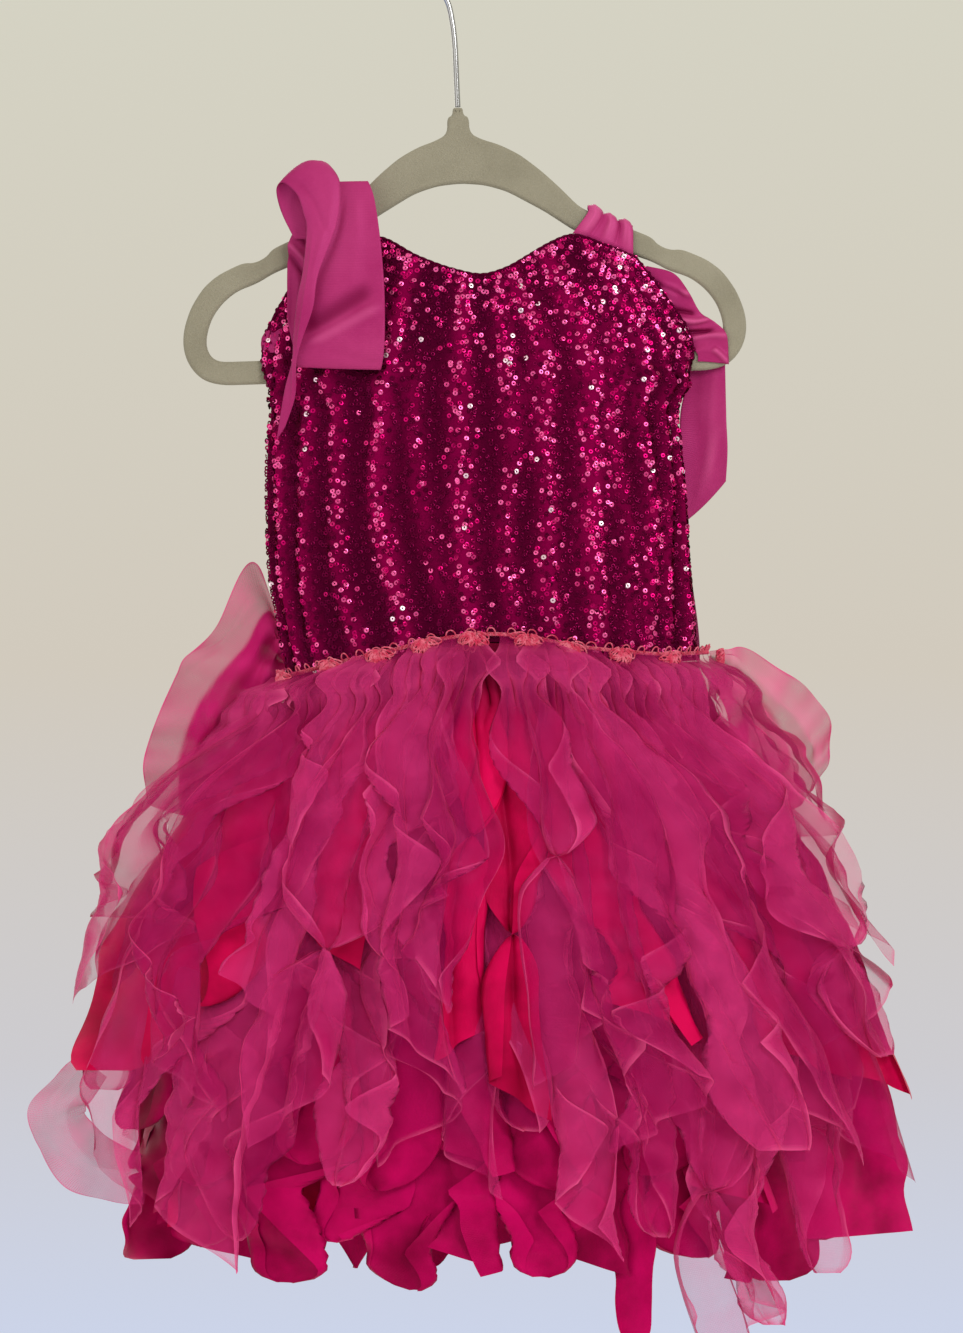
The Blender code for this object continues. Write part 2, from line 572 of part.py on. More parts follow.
def strip_grid(tier, strip, front):
    """Points down one strip, at the falls that all strips of the tier share, to its cut end."""
    shared = [o.fall for o in tier.outs if tier.band_bottom < o.fall < strip.end - 2 * CUT_END]
    fall = np.array([*shared, strip.end - CUT_END, strip.end])
    t = (fall - tier.band_bottom) / (strip.end - tier.band_bottom)
    root, tip = np.arcsin(np.clip([strip.root, strip.tip], -1, 1))
    angle = root + (tip - root) * t
    if not front:
        angle = np.pi + angle
    drop = waist_drop(angle) + fall
    middle = out_at(tier, strip, fall)
    step = 0.01
    stride = on_dress(angle + step, drop, middle) - on_dress(angle - step, drop, middle)
    per_radian = np.linalg.norm(stride, axis=-1) / (2 * step)
    half = strip_width(strip, tier.root_width, t) / 2 / per_radian
    lean = tier.lean * (1 - np.exp(-(fall - tier.band_bottom) / 35.0))
    if front and tier is ORGANZA_UPPER:
        lean = lean * np.sign(strip.root)
    u = np.linspace(-1.0, 1.0, tier.across)[None, :]
    slant = SLANT * u * (t[:, None] > 0.99) if strip.cut == "slant" else 0.0
    out = out_at(tier, strip, fall[:, None] + slant)
    belly = BELLY * ease(t[:, None] * 3) * (1 - u * u)
    return on_dress(
        angle[:, None] + half[:, None] * u,
        drop[:, None] + slant,
        out + lean[:, None] * u + belly,
    )


def add_tier(name, tier, strips, front):
    """Strips whose roots grow from one narrow band: columns of the band run on as strips."""
    across = tier.across
    roots = np.arcsin([strip.root for strip in strips]) + (0.0 if front else np.pi)
    drop = waist_drop(roots) + tier.band_bottom
    step = 0.01
    stride = on_dress(roots + step, drop, 2.0) - on_dress(roots - step, drop, 2.0)
    half = tier.root_width / 2 * 2 * step / np.linalg.norm(stride, axis=-1)
    u = np.linspace(-1.0, 1.0, across)[None, :]
    angles = (roots[:, None] + half[:, None] * u).reshape(-1)
    upper = on_dress(angles, waist_drop(angles) + tier.band_top, tier.outs[0].out)
    lower = on_dress(angles, waist_drop(angles) + tier.band_bottom, tier.outs[0].out)
    count = len(angles)
    points = [upper, lower]
    faces = grid_faces(2, count)
    start = 2 * count
    for index, strip in enumerate(strips):
        grid = strip_grid(tier, strip, front)
        above = count + index * across
        for col in range(across - 1):
            faces.append((above + col, start + col, start + col + 1, above + col + 1))
        faces += grid_faces(len(grid), across, start)
        points.append(grid.reshape(-1, 3))
        start += len(grid) * across
    made = new_mesh(name, np.concatenate(points), faces, tier.finish)
    return thicken(made, RIBBON)


def back_strips(rule, random):
    """Strips spread evenly along the back waist, each a little uneven."""
    strips = []
    for index in range(rule.count):
        root = rule.reach * (2 * index / (rule.count - 1) - 1)
        end = rule.end + rule.spread * random.uniform(-1, 1)
        width = rule.width + random.uniform(-3, 3)
        cut = rule.cuts[index % len(rule.cuts)]
        strips.append(Strip(root, root * 1.02, end, width, cut, 0))
    return strips


def build_tiers():
    for tier, strips in (
        (ORGANZA_UPPER, UPPER_FRONT),
        (SATIN_STRIPS, STRIPS_FRONT),
        (ORGANZA_LOWER, LOWER_FRONT),
        (SATIN_PETALS, PETALS_FRONT),
        (HEM_PETALS, HEM_FRONT),
    ):
        add_tier(tier.name + "_front", tier, strips, True)
    random = np.random.default_rng(BACK_SEED)
    for rule in BACK_RULES:
        add_tier(rule.tier.name + "_back", rule.tier, back_strips(rule, random), False)


def ribbon_grid(ribs, rows, across):
    """A smooth surface through the ribs, curved across through each rib's middle."""
    at = np.arange(len(ribs), dtype=float)
    to = np.linspace(0, len(ribs) - 1, rows)
    lines = []
    for side in ("left", "middle", "right"):
        places = np.array(column(ribs, side), float)
        lines.append(np.stack([follow(at, places[:, axis], to) for axis in range(3)], -1))
    left, middle, right = (line[:, None, :] for line in lines)
    u = np.linspace(-1.0, 1.0, across)[None, :, None]
    return left * u * (u - 1) / 2 + middle * (1 - u * u) + right * u * (u + 1) / 2


def arm_top(x):
    """The height of the hanger's upper edge at this place across the dress."""
    tilt = np.radians(HANGER_TILT)
    arm = [(px, pz) for px, pz in HANGER_OUTER if 10.0 < px < 100.0]
    xs = np.array([px for px, pz in arm])
    zs = np.array([pz for px, pz in arm])
    side = np.sign(x)
    places = HANGER_AT[0] + side * xs * np.cos(tilt) - zs * np.sin(tilt)
    heights = HANGER_AT[1] + side * xs * np.sin(tilt) + zs * np.cos(tilt)
    return np.interp(x * side, places * side, heights)


def build_strap(name, shares):
    """Ruched ribbon from the front's top edge over the hanger's arm to the back's top edge."""
    rows = []
    for index, share in enumerate(shares):
        angle = np.radians(ARMHOLE[0].right * share)
        before = follow(column(FRONT_TOP, "across"), column(FRONT_TOP, "drop"), share)
        behind = follow(column(BACK_TOP, "across"), column(BACK_TOP, "drop"), share)
        front = on_dress(angle, before - STRAP_GAP)
        back = on_dress(np.pi - angle, behind - STRAP_GAP)
        top = arm_top(front[0])
        ruche = RUCHE * (index % 2)
        over = [
            (front[0], side * (STRAP_HALF * wide + ruche * abs(side)), top + up + ruche * (up > 0))
            for side, wide, up in STRAP_PROFILE
        ]
        rows.append([front, *over, back])
    grid = np.swapaxes(np.array(rows, float), 0, 1)[::-1]
    return add_sheet(name, grid, RIBBON, "ribbon")


def build_ribbons():
    build_strap("strap_right", np.linspace(0.5, 0.98, 9))
    build_strap("strap_left", np.linspace(-0.96, -0.48, 9))
    for name, ribs, rows, across in (
        ("ribbon_loop_left", LOOP_LEFT, 24, 4),
        ("ribbon_panel_left", PANEL_LEFT, 19, 3),
        ("ribbon_knot_left", KNOT_LEFT, 9, 3),
        ("binding_left", BINDING_LEFT, 7, 3),
        ("ribbon_right", RIBBON_RIGHT, 13, 4),
        ("ribbon_tail_right", TAIL_RIGHT, 7, 4),
    ):
        add_sheet(name, ribbon_grid(ribs, rows, across), RIBBON, "ribbon")
    add_sheet("organza_loop_waist", ribbon_grid(LOOP_WAIST, 13, 4), RIBBON, "organza")
    add_sheet("organza_ruffle_right", ribbon_grid(RUFFLE_RIGHT, 11, 4), RIBBON, "organza")
    add_sheet("organza_loop_hem", ribbon_grid(LOOP_HEM, 13, 4), RIBBON, "organza")


def spline_of(curve, places, cyclic):
    spline = curve.splines.new("POLY")
    spline.points.add(len(places) - 1)
    for point, place in zip(spline.points, places):
        point.co = (*(np.array(place) * MM), 1.0)
    spline.use_cyclic_u = cyclic


def build_hanger():
    curve = bpy.data.curves.new("hanger_body", "CURVE")
    curve.dimensions = "2D"
    curve.fill_mode = "BOTH"
    curve.extrude = (HANGER_THICK / 2 - HANGER_CHAMFER) * MM
    curve.bevel_depth = HANGER_CHAMFER * MM
    curve.bevel_resolution = 0
    curve.offset = -HANGER_CHAMFER * MM
    for half in (HANGER_OUTER, HANGER_INNER):
        left = [(-x, z) for x, z in half[-2:0:-1]]
        spline_of(curve, [(x, z, 0.0) for x, z in (*half, *left)], True)
    made = new_object("hanger_body", curve, "flock")
    made.rotation_euler = (np.pi / 2, -np.radians(HANGER_TILT), 0.0)
    made.location = (HANGER_AT[0] * MM, 0.0, HANGER_AT[1] * MM)


def build_hook():
    curve = bpy.data.curves.new("hanger_hook", "CURVE")
    curve.dimensions = "3D"
    curve.bevel_depth = HOOK_WIRE / 2 * MM
    curve.bevel_resolution = 2
    curve.use_fill_caps = True
    centre = HOOK_WIRE / 2 - HOOK_RADIUS
    turn = np.radians(np.linspace(HOOK_FROM, HOOK_TO, HOOK_POINTS))
    arc = [(HOOK_RADIUS * np.cos(a), centre + HOOK_RADIUS * np.sin(a)) for a in turn]
    spline_of(curve, [(x, 0.0, z) for x, z in (*SHANK, *arc)], False)
    new_object("hanger_hook", curve, "chrome")


for leftover in list(bpy.data.objects):
    bpy.data.objects.remove(leftover)
DRESS = bpy.data.collections.new("toddler_party_dress")
bpy.context.scene.collection.children.link(DRESS)
build_hanger()
build_hook()
build_bodice()
build_underskirt()
build_trim()
build_tiers()
build_ribbons()
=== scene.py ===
import bpy
import numpy as np
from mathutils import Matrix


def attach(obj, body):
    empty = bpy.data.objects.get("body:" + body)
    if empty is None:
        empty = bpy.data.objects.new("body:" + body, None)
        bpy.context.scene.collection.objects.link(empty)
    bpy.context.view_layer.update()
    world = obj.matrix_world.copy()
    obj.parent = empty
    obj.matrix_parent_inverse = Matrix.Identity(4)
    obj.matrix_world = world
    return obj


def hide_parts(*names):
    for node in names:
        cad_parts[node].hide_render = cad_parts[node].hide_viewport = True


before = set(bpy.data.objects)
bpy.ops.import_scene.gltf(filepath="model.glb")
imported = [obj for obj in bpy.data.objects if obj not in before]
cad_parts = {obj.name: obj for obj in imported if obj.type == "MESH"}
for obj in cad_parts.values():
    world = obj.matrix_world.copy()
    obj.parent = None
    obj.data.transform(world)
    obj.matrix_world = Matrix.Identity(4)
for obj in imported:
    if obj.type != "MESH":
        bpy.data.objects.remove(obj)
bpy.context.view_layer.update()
mm = 0.001
tau = 2 * np.pi
bpy.context.scene.view_settings.view_transform = "Standard"


# The frame in pixels, the millimetres that one covers, the pixel where the origin stands, and
# the camera's distance in metres.
view = {"wide": 963, "high": 1333, "pixel": 0.535, "origin": (460, -80), "distance": 2.2, "sensor": 24.0}


# A level camera straight before the frame's middle, its lens so long that the frame just fits.
def aimCamera():
    camera = bpy.data.cameras.new("camera")
    camera.sensor_fit = "VERTICAL"
    camera.sensor_height = view["sensor"]
    camera.lens = view["sensor"] * view["distance"] / (view["high"] * view["pixel"] * mm)
    holder = bpy.data.objects.new("camera", camera)
    bpy.context.scene.collection.objects.link(holder)
    right = (view["wide"] / 2 - view["origin"][0]) * view["pixel"] * mm
    below = (view["high"] / 2 - view["origin"][1]) * view["pixel"] * mm
    holder.location = (right, -view["distance"], -below)
    holder.rotation_euler = (np.pi / 2, 0, 0)
    bpy.context.scene.camera = holder


aimCamera()
print("camera done")


# The form of the dress, as in the solids: rings down its body, the waist seam and the top edges
# before and behind, each by its share of the half width (-1 left, 1 right) and its drop.
ringTable = np.array([
    # drop, centre, half width, depth before, depth behind
    (160, 6.0, 100.0, 7.5, 7.5),
    (180, 6.0, 102.5, 8.0, 8.0),
    (200, 7.5, 111.5, 10.0, 9.0),
    (228, 9.0, 119.5, 13.0, 10.0),
    (248, 8.0, 112.5, 15.0, 11.0),
    (256, 8.0, 107.0, 15.5, 11.0),
    (280, 8.0, 107.0, 17.0, 12.0),
    (310, 9.5, 109.0, 18.0, 13.0),
    (350, 12.0, 110.5, 21.0, 15.0),
    (385, 17.0, 110.0, 24.0, 18.0),
    (410, 18.0, 110.0, 27.0, 20.0),
    (435, 17.5, 115.0, 31.5, 22.5),
    (470, 17.0, 127.0, 37.0, 25.0),
    (530, 16.0, 147.0, 45.0, 29.0),
    (600, 16.0, 160.0, 52.0, 32.0),
    (660, 16.0, 166.0, 56.0, 34.0),
    (770, 16.0, 168.0, 58.0, 35.0),
])
waistTable = np.array([
    # across, drop
    (-1.0, 410.0), (-0.7, 401.0), (-0.5, 396.0), (-0.28, 390.0), (-0.05, 386.5),
    (0.15, 387.5), (0.4, 393.0), (0.6, 395.5), (0.8, 397.0), (1.0, 396.0),
])
frontTop = np.array([
    (-1.0, 186.0), (-0.75, 178.0), (-0.5, 170.5), (-0.27, 181.0), (-0.1, 187.5), (0.05, 190.5),
    (0.17, 187.0), (0.3, 180.0), (0.42, 173.5), (0.53, 169.5), (0.75, 174.0), (1.0, 181.0),
])
backTop = np.array([
    (-1.0, 186.0), (-0.72, 178.0), (-0.5, 173.0), (-0.25, 203.0), (0.05, 216.0),
    (0.3, 201.0), (0.53, 171.0), (0.75, 174.0), (1.0, 181.0),
])


# A curve through the points: a cubic between each two, with the slopes of their neighbours.
def follow(knots, values, at):
    slopes = np.gradient(values, knots)
    at = np.clip(at, knots[0], knots[-1])
    i = np.clip(np.searchsorted(knots, at) - 1, 0, len(knots) - 2)
    step = knots[i + 1] - knots[i]
    t = (at - knots[i]) / step
    start = (2 * t**3 - 3 * t**2 + 1) * values[i] + (t**3 - 2 * t**2 + t) * step * slopes[i]
    end = (3 * t**2 - 2 * t**3) * values[i + 1] + (t**3 - t**2) * step * slopes[i + 1]
    return start + end


# The same through a row of places, at evenly spread steps from the first to the last.
def smoothPath(places, count):
    places = np.asarray(places, float)
    knots = np.arange(len(places), dtype=float)
    at = np.linspace(0, len(places) - 1, count)
    return np.stack([follow(knots, places[:, axis], at) for axis in range(3)], -1)


# From 0 to 1 with no slope at either end: three t squared less two t cubed.
def ease(t):
    t = np.clip(t, 0.0, 1.0)
    return t * t * (3 - 2 * t)


# A rounded bump: e to the minus square of the distance from its middle over its width.
def bell(value, middle, width):
    return np.exp(-(((value - middle) / width) ** 2))


# A place on the dress: half an oval before and half a flatter one behind, wider and deeper by
# what stands out. Sine of the angle gives the way across, cosine the way forward.
def onDress(angle, drop, out=0.0):
    knots = ringTable[:, 0]
    centre, half, before, behind = (follow(knots, ringTable[:, i], drop) for i in range(1, 5))
    ahead = np.cos(angle)
    depth = np.where(ahead > 0, before + out, behind + 0.85 * out)
    x = centre + (half + 1.6 * out) * np.sin(angle)
    return np.stack(np.broadcast_arrays(x, -depth * ahead, -drop), -1)


# The seam's drop: the table's curve before, a straight slant behind.
def waistDrop(angle):
    across = np.sin(angle)
    behind = 403.0 - 7.0 * across
    before = follow(waistTable[:, 0], waistTable[:, 1], across)
    return np.where(np.cos(angle) > 0, before, behind)


# Each vector over its own length.
def unit(vectors):
    return vectors / (np.linalg.norm(vectors, axis=-1, keepdims=True) + 1e-9)


# Outward normals of a grid whose rows run down and whose columns run to the viewer's right.
def gridNormals(grid):
    return unit(np.cross(np.gradient(grid, axis=-3), np.gradient(grid, axis=-2)))


# Grids of points, all of one shape, become one mesh. UVs are in metres: the lengths of the
# steps, added up across each row from its middle and down each column.
def gridMesh(name, grids, attributes=None, closed=False):
    grids = np.asarray(grids, float)
    if grids.ndim == 3:
        grids = grids[None]
    count, rows, columns = grids.shape[:3]
    spans = columns if closed else columns - 1
    row, col = np.meshgrid(np.arange(rows - 1), np.arange(spans), indexing="ij")
    here, there = row * columns + col, row * columns + (col + 1) % columns
    corners = np.stack([here, here + columns, there + columns, there], -1).reshape(-1, 4)
    faces = (corners[None] + (np.arange(count) * rows * columns)[:, None, None]).reshape(-1, 4)
    mesh = meshFrom(name, grids.reshape(-1, 3), faces)
    across = np.linalg.norm(np.diff(grids, axis=2, prepend=grids[:, :, :1]), axis=-1).cumsum(2)
    along = np.linalg.norm(np.diff(grids, axis=1, prepend=grids[:, :1]), axis=-1).cumsum(1)
    across = across - across[:, :, -1:] / 2
    along = along.mean(2, keepdims=True) + np.zeros_like(across)
    uv = np.stack([across, along], -1).reshape(-1, 2) * mm
    layer = mesh.uv_layers.new(name="weave")
    layer.data.foreach_set("uv", uv[faces.reshape(-1)].astype(np.float32).ravel())
    for key, values in (attributes or {}).items():
        values = np.broadcast_to(values, (count, rows, columns)).reshape(-1)
        data = mesh.attributes.new(key, "FLOAT", "POINT").data
        data.foreach_set("value", values.astype(np.float32))
    return place(name, mesh)


# A smooth mesh from places in millimetres and faces that all have as many corners.
def meshFrom(name, points, faces):
    mesh = bpy.data.meshes.new(name)
    sides = faces.shape[1]
    mesh.vertices.add(len(points))
    mesh.vertices.foreach_set("co", (np.asarray(points) * mm).astype(np.float32).ravel())
    mesh.loops.add(faces.size)
    mesh.loops.foreach_set("vertex_index", faces.astype(np.int32).ravel())
    mesh.polygons.add(len(faces))
    mesh.polygons.foreach_set("loop_start", np.arange(0, faces.size, sides, dtype=np.int32))
    mesh.polygons.foreach_set("loop_total", np.full(len(faces), sides, np.int32))
    mesh.update(calc_edges=True)
    mesh.validate()
    mesh.shade_smooth()
    return mesh


# An object at the origin, unturned: its place is in its mesh.
def place(name, mesh):
    piece = bpy.data.objects.new(name, mesh)
    bpy.context.scene.collection.objects.link(piece)
    return piece


# A wall, half of it on either side of the surface.
def thicken(piece, wall):
    solidify = piece.modifiers.new("wall", "SOLIDIFY")
    solidify.thickness = wall * mm
    solidify.offset = 0.0
    return piece


# A tube along each path: rings of cosine and sine of the turn, square to the path. The paths
# share one number of points.
def tubes(name, paths, radius, sides=6, attributes=None):
    paths = np.asarray(paths, float)
    along = unit(np.gradient(paths, axis=1))
    helper = np.where(np.abs(along[..., 1:2]) > 0.9, [1.0, 0, 0], [0, 1.0, 0])
    first = unit(np.cross(along, helper))
    second = np.cross(along, first)
    turn = np.arange(sides) * tau / sides
    radius = np.broadcast_to(radius, paths.shape[:2])[..., None, None]
    rings = np.cos(turn)[:, None] * first[..., None, :] + np.sin(turn)[:, None] * second[..., None, :]
    return gridMesh(name, paths[..., None, :] + radius * rings, attributes, closed=True)


# The piece's material, its slot name, which is not used, the node it stands in for and the body it rides on.
def finishPiece(piece, paint, slotName, *nodes):
    piece.data.materials.clear()
    piece.data.materials.append(paint)
    if nodes:
        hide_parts(*nodes)
    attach(piece, "root")
    return piece


def declareSheet(grids, restsOn):
    grids = np.asarray(grids, float)
    if grids.ndim == 3:
        grids = grids[None]


# Soft creases: each runs between two places (share along from 0 to 1, share across from -1 to 1)
# with a height outwards, negative for a trough, and a width.
def crease(grid, lines):
    long = np.linalg.norm(np.diff(grid, axis=0), axis=-1).sum(0).mean()
    wide = np.linalg.norm(np.diff(grid, axis=1), axis=-1).sum(1).mean() / 2
    down = np.linspace(0, long, grid.shape[0])[:, None]
    right = np.linspace(-wide, wide, grid.shape[1])[None, :]
    rise = np.zeros(grid.shape[:2])
    for fromDown, fromRight, toDown, toRight, height, width in lines:
        way = np.array(((toDown - fromDown) * long, (toRight - fromRight) * wide))
        reach = np.linalg.norm(way)
        way /= reach
        along = (down - fromDown * long) * way[0] + (right - fromRight * wide) * way[1]
        off = (down - fromDown * long) * way[1] - (right - fromRight * wide) * way[0]
        fade = ease(np.minimum(along, reach - along) / (0.35 * reach) + 0.6)
        rise += height * bell(off, 0, width) * fade
    return grid + rise[..., None] * gridNormals(grid)


# One output of a shader node, which can be added to, multiplied and sent through a sine.
class Wire:
    def __init__(self, paint, socket):
        self.paint = paint
        self.socket = socket

    def maths(self, how, other=0.0, clamp=False):
        settings = {"operation": how, "use_clamp": clamp}
        return self.paint.node("Math", settings, {0: self, 1: other})

    def __add__(self, other):
        return self.maths("ADD", other)

    def __mul__(self, other):
        return self.maths("MULTIPLY", other)

    def sine(self):
        return self.maths("SINE")

    def clamped(self):
        return self.maths("ADD", 0.0, clamp=True)


# A material and its nodes. Patterns read Object coordinates, or the piece's UVs and attributes.
class Paint:
    def __init__(self, name):
        self.material = bpy.data.materials.new(name)
        self.material.use_nodes = True
        self.tree = self.material.node_tree
        self.shader = self.tree.nodes["Principled BSDF"]

    # Any node: its settings, the sockets that are set or linked, and the output that is wanted.
    def node(self, kind, settings=None, sockets=None, output=0):
        made = self.tree.nodes.new("ShaderNode" + kind)
        for key, value in (settings or {}).items():
            setattr(made, key, value)
        for key, value in (sockets or {}).items():
            self.connect(made.inputs[key], value)
        return Wire(self, made.outputs[output])

    def connect(self, socket, value):
        if isinstance(value, Wire):
            self.tree.links.new(value.socket, socket)
        else:
            socket.default_value = value

    # Sockets of the shader itself, by their names with a line for each space.
    def set(self, **values):
        for key, value in values.items():
            self.connect(self.shader.inputs[key.replace("_", " ")], value)
        return self

    def attribute(self, name):
        return self.node("Attribute", {"attribute_name": name}, output="Fac")

    def noise(self, scale, detail, stretch=(1, 1, 1)):
        where = self.node("TexCoord", output="Object")
        where = self.node("Mapping", None, {"Vector": where, "Scale": stretch})
        return self.node("TexNoise", None, {"Vector": where, "Scale": scale, "Detail": detail})

    # From the first colour to the second by the factor.
    def blend(self, factor, first, second):
        first, second = (c if isinstance(c, Wire) else (*c, 1) for c in (first, second))
        sockets = {0: factor, 6: first, 7: second}
        return self.node("Mix", {"data_type": "RGBA"}, sockets, output=2)

    # From 0 at the low value to 1 at the high one, eased at both ends.
    def ramp(self, value, low, high):
        sockets = {0: value, 1: low, 2: high}
        return self.node("MapRange", {"interpolation_type": "SMOOTHSTEP"}, sockets)

    def bump(self, height, distance, strength):
        sockets = {"Height": height, "Distance": distance, "Strength": strength}
        self.connect(self.shader.inputs["Normal"], self.node("Bump", None, sockets))

    # Phases of the threads across and along the cloth, from its UVs.
    def threads(self, spacing):
        parts = self.tree.nodes.new("ShaderNodeSeparateXYZ")
        self.connect(parts.inputs[0], self.node("UVMap", {"uv_map": "weave"}))
        return [Wire(self, parts.outputs[i]) * (tau / spacing) for i in (0, 1)]


# The right half of the hanger's outline and of its opening, from the middle, seen from before.
hangerOuter = (
    (0.0, 14.4), (2.7, 14.4), (2.9, 10.4), (5.9, 9.2), (5.9, 1.0), (11.4, -2.5), (22.0, -6.0),
    (32.6, -11.7), (43.5, -20.5), (53.4, -30.0), (63.2, -40.5), (79.0, -48.5), (96.5, -55.8),
    (101.7, -58.3), (104.8, -62.2), (111.2, -65.2), (117.6, -64.9), (131.0, -71.0),
    (139.0, -77.5), (146.0, -88.0), (150.0, -99.0), (150.9, -108.0), (149.2, -116.0),
    (145.0, -123.0), (139.0, -127.8), (130.0, -130.0), (0.0, -130.0),
)
hangerInner = (
    (0.0, -26.0), (13.0, -27.2), (25.0, -31.0), (45.0, -42.5), (60.0, -53.0), (76.0, -61.0),
    (93.0, -67.8), (101.5, -71.0), (110.0, -76.0), (121.0, -79.8), (129.0, -86.0),
    (135.0, -94.0), (138.0, -103.0), (138.3, -109.5), (135.8, -115.0), (131.0, -117.5),
    (0.0, -117.5),
)
hanger = {"at": (-0.8, -115.0), "tilt": 1.8, "thick": 5.0, "round": 2.1, "corners": 2}
# The hook: radius of its bend, radius of its wire, and the angles where the bend starts and ends.
hook = {"bend": 20.0, "wire": 1.5, "start": 225.0, "end": -42.0, "points": 61, "sides": 16}
hookShank = ((-1.2, 0, -100), (-1.9, 0, -84), (-2.7, 0, -67), (-4.2, 0, -54), (-7, 0, -43))


# Corner cutting: each corner becomes two points, near enough to keep the outline.
def cutCorners(loop, times):
    loop = np.asarray(loop, float)
    for step in range(times):
        ahead = np.roll(loop, -1, axis=0)
        side = ahead - loop
        near = np.minimum(0.25, 2.4 / (np.linalg.norm(side, axis=1, keepdims=True) + 1e-6))
        loop = np.stack([loop + near * side, ahead - near * side], 1).reshape(-1, 2)
    return loop


# Short flock: a fine grain over a soft cloud, paler in worn patches.
def flockPaint():
    paint = Paint("flock")
    fibre = paint.noise(2600, 2)
    cloud = paint.noise(26, 3)
    worn = paint.ramp(paint.noise(9, 4) + cloud * 0.3, 0.5, 0.95)
    tone = paint.ramp(fibre * 0.5 + cloud * 0.5, 0.3, 0.7)
    colour = paint.blend(tone, (0.265, 0.238, 0.172), (0.355, 0.322, 0.240))
    paint.set(Base_Color=paint.blend(worn * 0.3, colour, (0.40, 0.365, 0.28)), Roughness=0.92)
    paint.set(Sheen_Weight=0.25, Sheen_Roughness=0.5, Sheen_Tint=(0.9, 0.87, 0.78, 1))
    paint.bump(fibre + cloud * 0.4, 0.0004, 0.7)
    return paint.material


# Polished wire with faint marks along it.
def chromePaint():
    paint = Paint("chrome")
    drawn = paint.noise(900, 2, stretch=(1, 1, 0.05))
    colour = paint.blend(paint.noise(60, 3), (0.30, 0.30, 0.31), (0.46, 0.46, 0.47))
    paint.set(Base_Color=colour, Metallic=1.0, Roughness=drawn * 0.14 + 0.10)
    paint.bump(drawn, 0.00005, 0.4)
    return paint.material


# The hanger's body: its outline and opening as a flat curve with rounded edges, turned upright
# and tilted. Cosine and sine of the tilt mix across and up.
def addHanger():
    curve = bpy.data.curves.new("hangerBody", "CURVE")
    curve.dimensions = "2D"
    curve.fill_mode = "BOTH"
    curve.extrude = (hanger["thick"] / 2 - hanger["round"]) * mm
    curve.bevel_depth = hanger["round"] * mm
    curve.bevel_resolution = 4
    curve.offset = -hanger["round"] * mm
    for half in (hangerOuter, hangerInner):
        left = [(-x, z) for x, z in half[-2:0:-1]]
        loop = cutCorners((*half, *left), hanger["corners"])
        spline = curve.splines.new("POLY")
        spline.points.add(len(loop) - 1)
        places = np.column_stack([loop * mm, np.zeros(len(loop)), np.ones(len(loop))])
        spline.points.foreach_set("co", places.ravel())
        spline.use_cyclic_u = True
    shape = bpy.data.objects.new("hangerShape", curve)
    mesh = bpy.data.meshes.new_from_object(shape)
    bpy.data.objects.remove(shape)
    points = np.empty(len(mesh.vertices) * 3, np.float32)
    mesh.vertices.foreach_get("co", points)
    x, z, depth = points.reshape(-1, 3).T
    (right, up), tilt = hanger["at"], np.radians(hanger["tilt"])
    turned = np.stack([
        right * mm + x * np.cos(tilt) - z * np.sin(tilt),
        -depth,
        up * mm + x * np.sin(tilt) + z * np.cos(tilt),
    ], -1)
    mesh.vertices.foreach_set("co", turned.astype(np.float32).ravel())
    mesh.update()
    mesh.shade_smooth()
    finishPiece(place("hangerBody", mesh), flockPaint(), "flock", "hanger_body")


# The hook: a tube up a smooth shank and round an arc whose inside touches the origin. Its radius
# closes at the tip as the root of what is left of the path.
def addHook():
    turn = np.radians(np.linspace(hook["start"], hook["end"], hook["points"]))
    bend = hook["bend"]
    arc = [(bend * np.cos(a), 0.0, hook["wire"] - bend + bend * np.sin(a)) for a in turn]
    path = np.array([*smoothPath([*hookShank, arc[0]], 30)[:-1], *arc])
    last = len(path) - 1
    left = np.interp(np.arange(len(path)), (0, last - 2, last), (1, 1, 0.001))
    radius = hook["wire"] * np.sqrt(left)
    piece = tubes("hangerHook", [path], radius[None], hook["sides"])
    finishPiece(piece, chromePaint(), "chrome", "hanger_hook")


addHanger()
addHook()
print("hanger done")


# How many degrees round the dress each panel reaches, left and right, from its top edge (0) to
# the waist seam (1).
sideFront = np.array([
    (0.0, 58, 58), (0.15, 68, 68), (0.3, 78, 78), (0.33, 89.4, 89.4), (0.6, 88, 87), (1.0, 84, 76),
])
sideBack = np.array([
    (0.0, 58, 58), (0.15, 62, 62), (0.3, 72, 72), (0.33, 88.2, 88.2), (0.6, 89.6, 90.6), (1.0, 93.6, 101.6),
])


# A place on a bodice panel: its angle is the share of the reach at that height, and its drop lies
# at that share of the way from the top edge to the seam.
def bodiceAt(front, share, down):
    sides, top = (sideFront, frontTop) if front else (sideBack, backTop)
    left = np.interp(down, sides[:, 0], sides[:, 1])
    right = np.interp(down, sides[:, 0], sides[:, 2])
    degrees = share * np.where(share < 0, left, right)
    angle = np.radians(degrees if front else 180 - degrees)
    start = follow(top[:, 0], top[:, 1], share)
    end = waistDrop(angle)
    return angle, start + (end - start) * down


# The front's gathers and the plain back, both a little off the solids.
ruche = {"height": 3.2, "fine": 0.5, "pulls": 14, "columns": 361, "rows": 120, "seed": 4, "lift": 0.6}
backPanel = {"height": 0.8, "columns": 121, "rows": 80, "lift": 0.6}
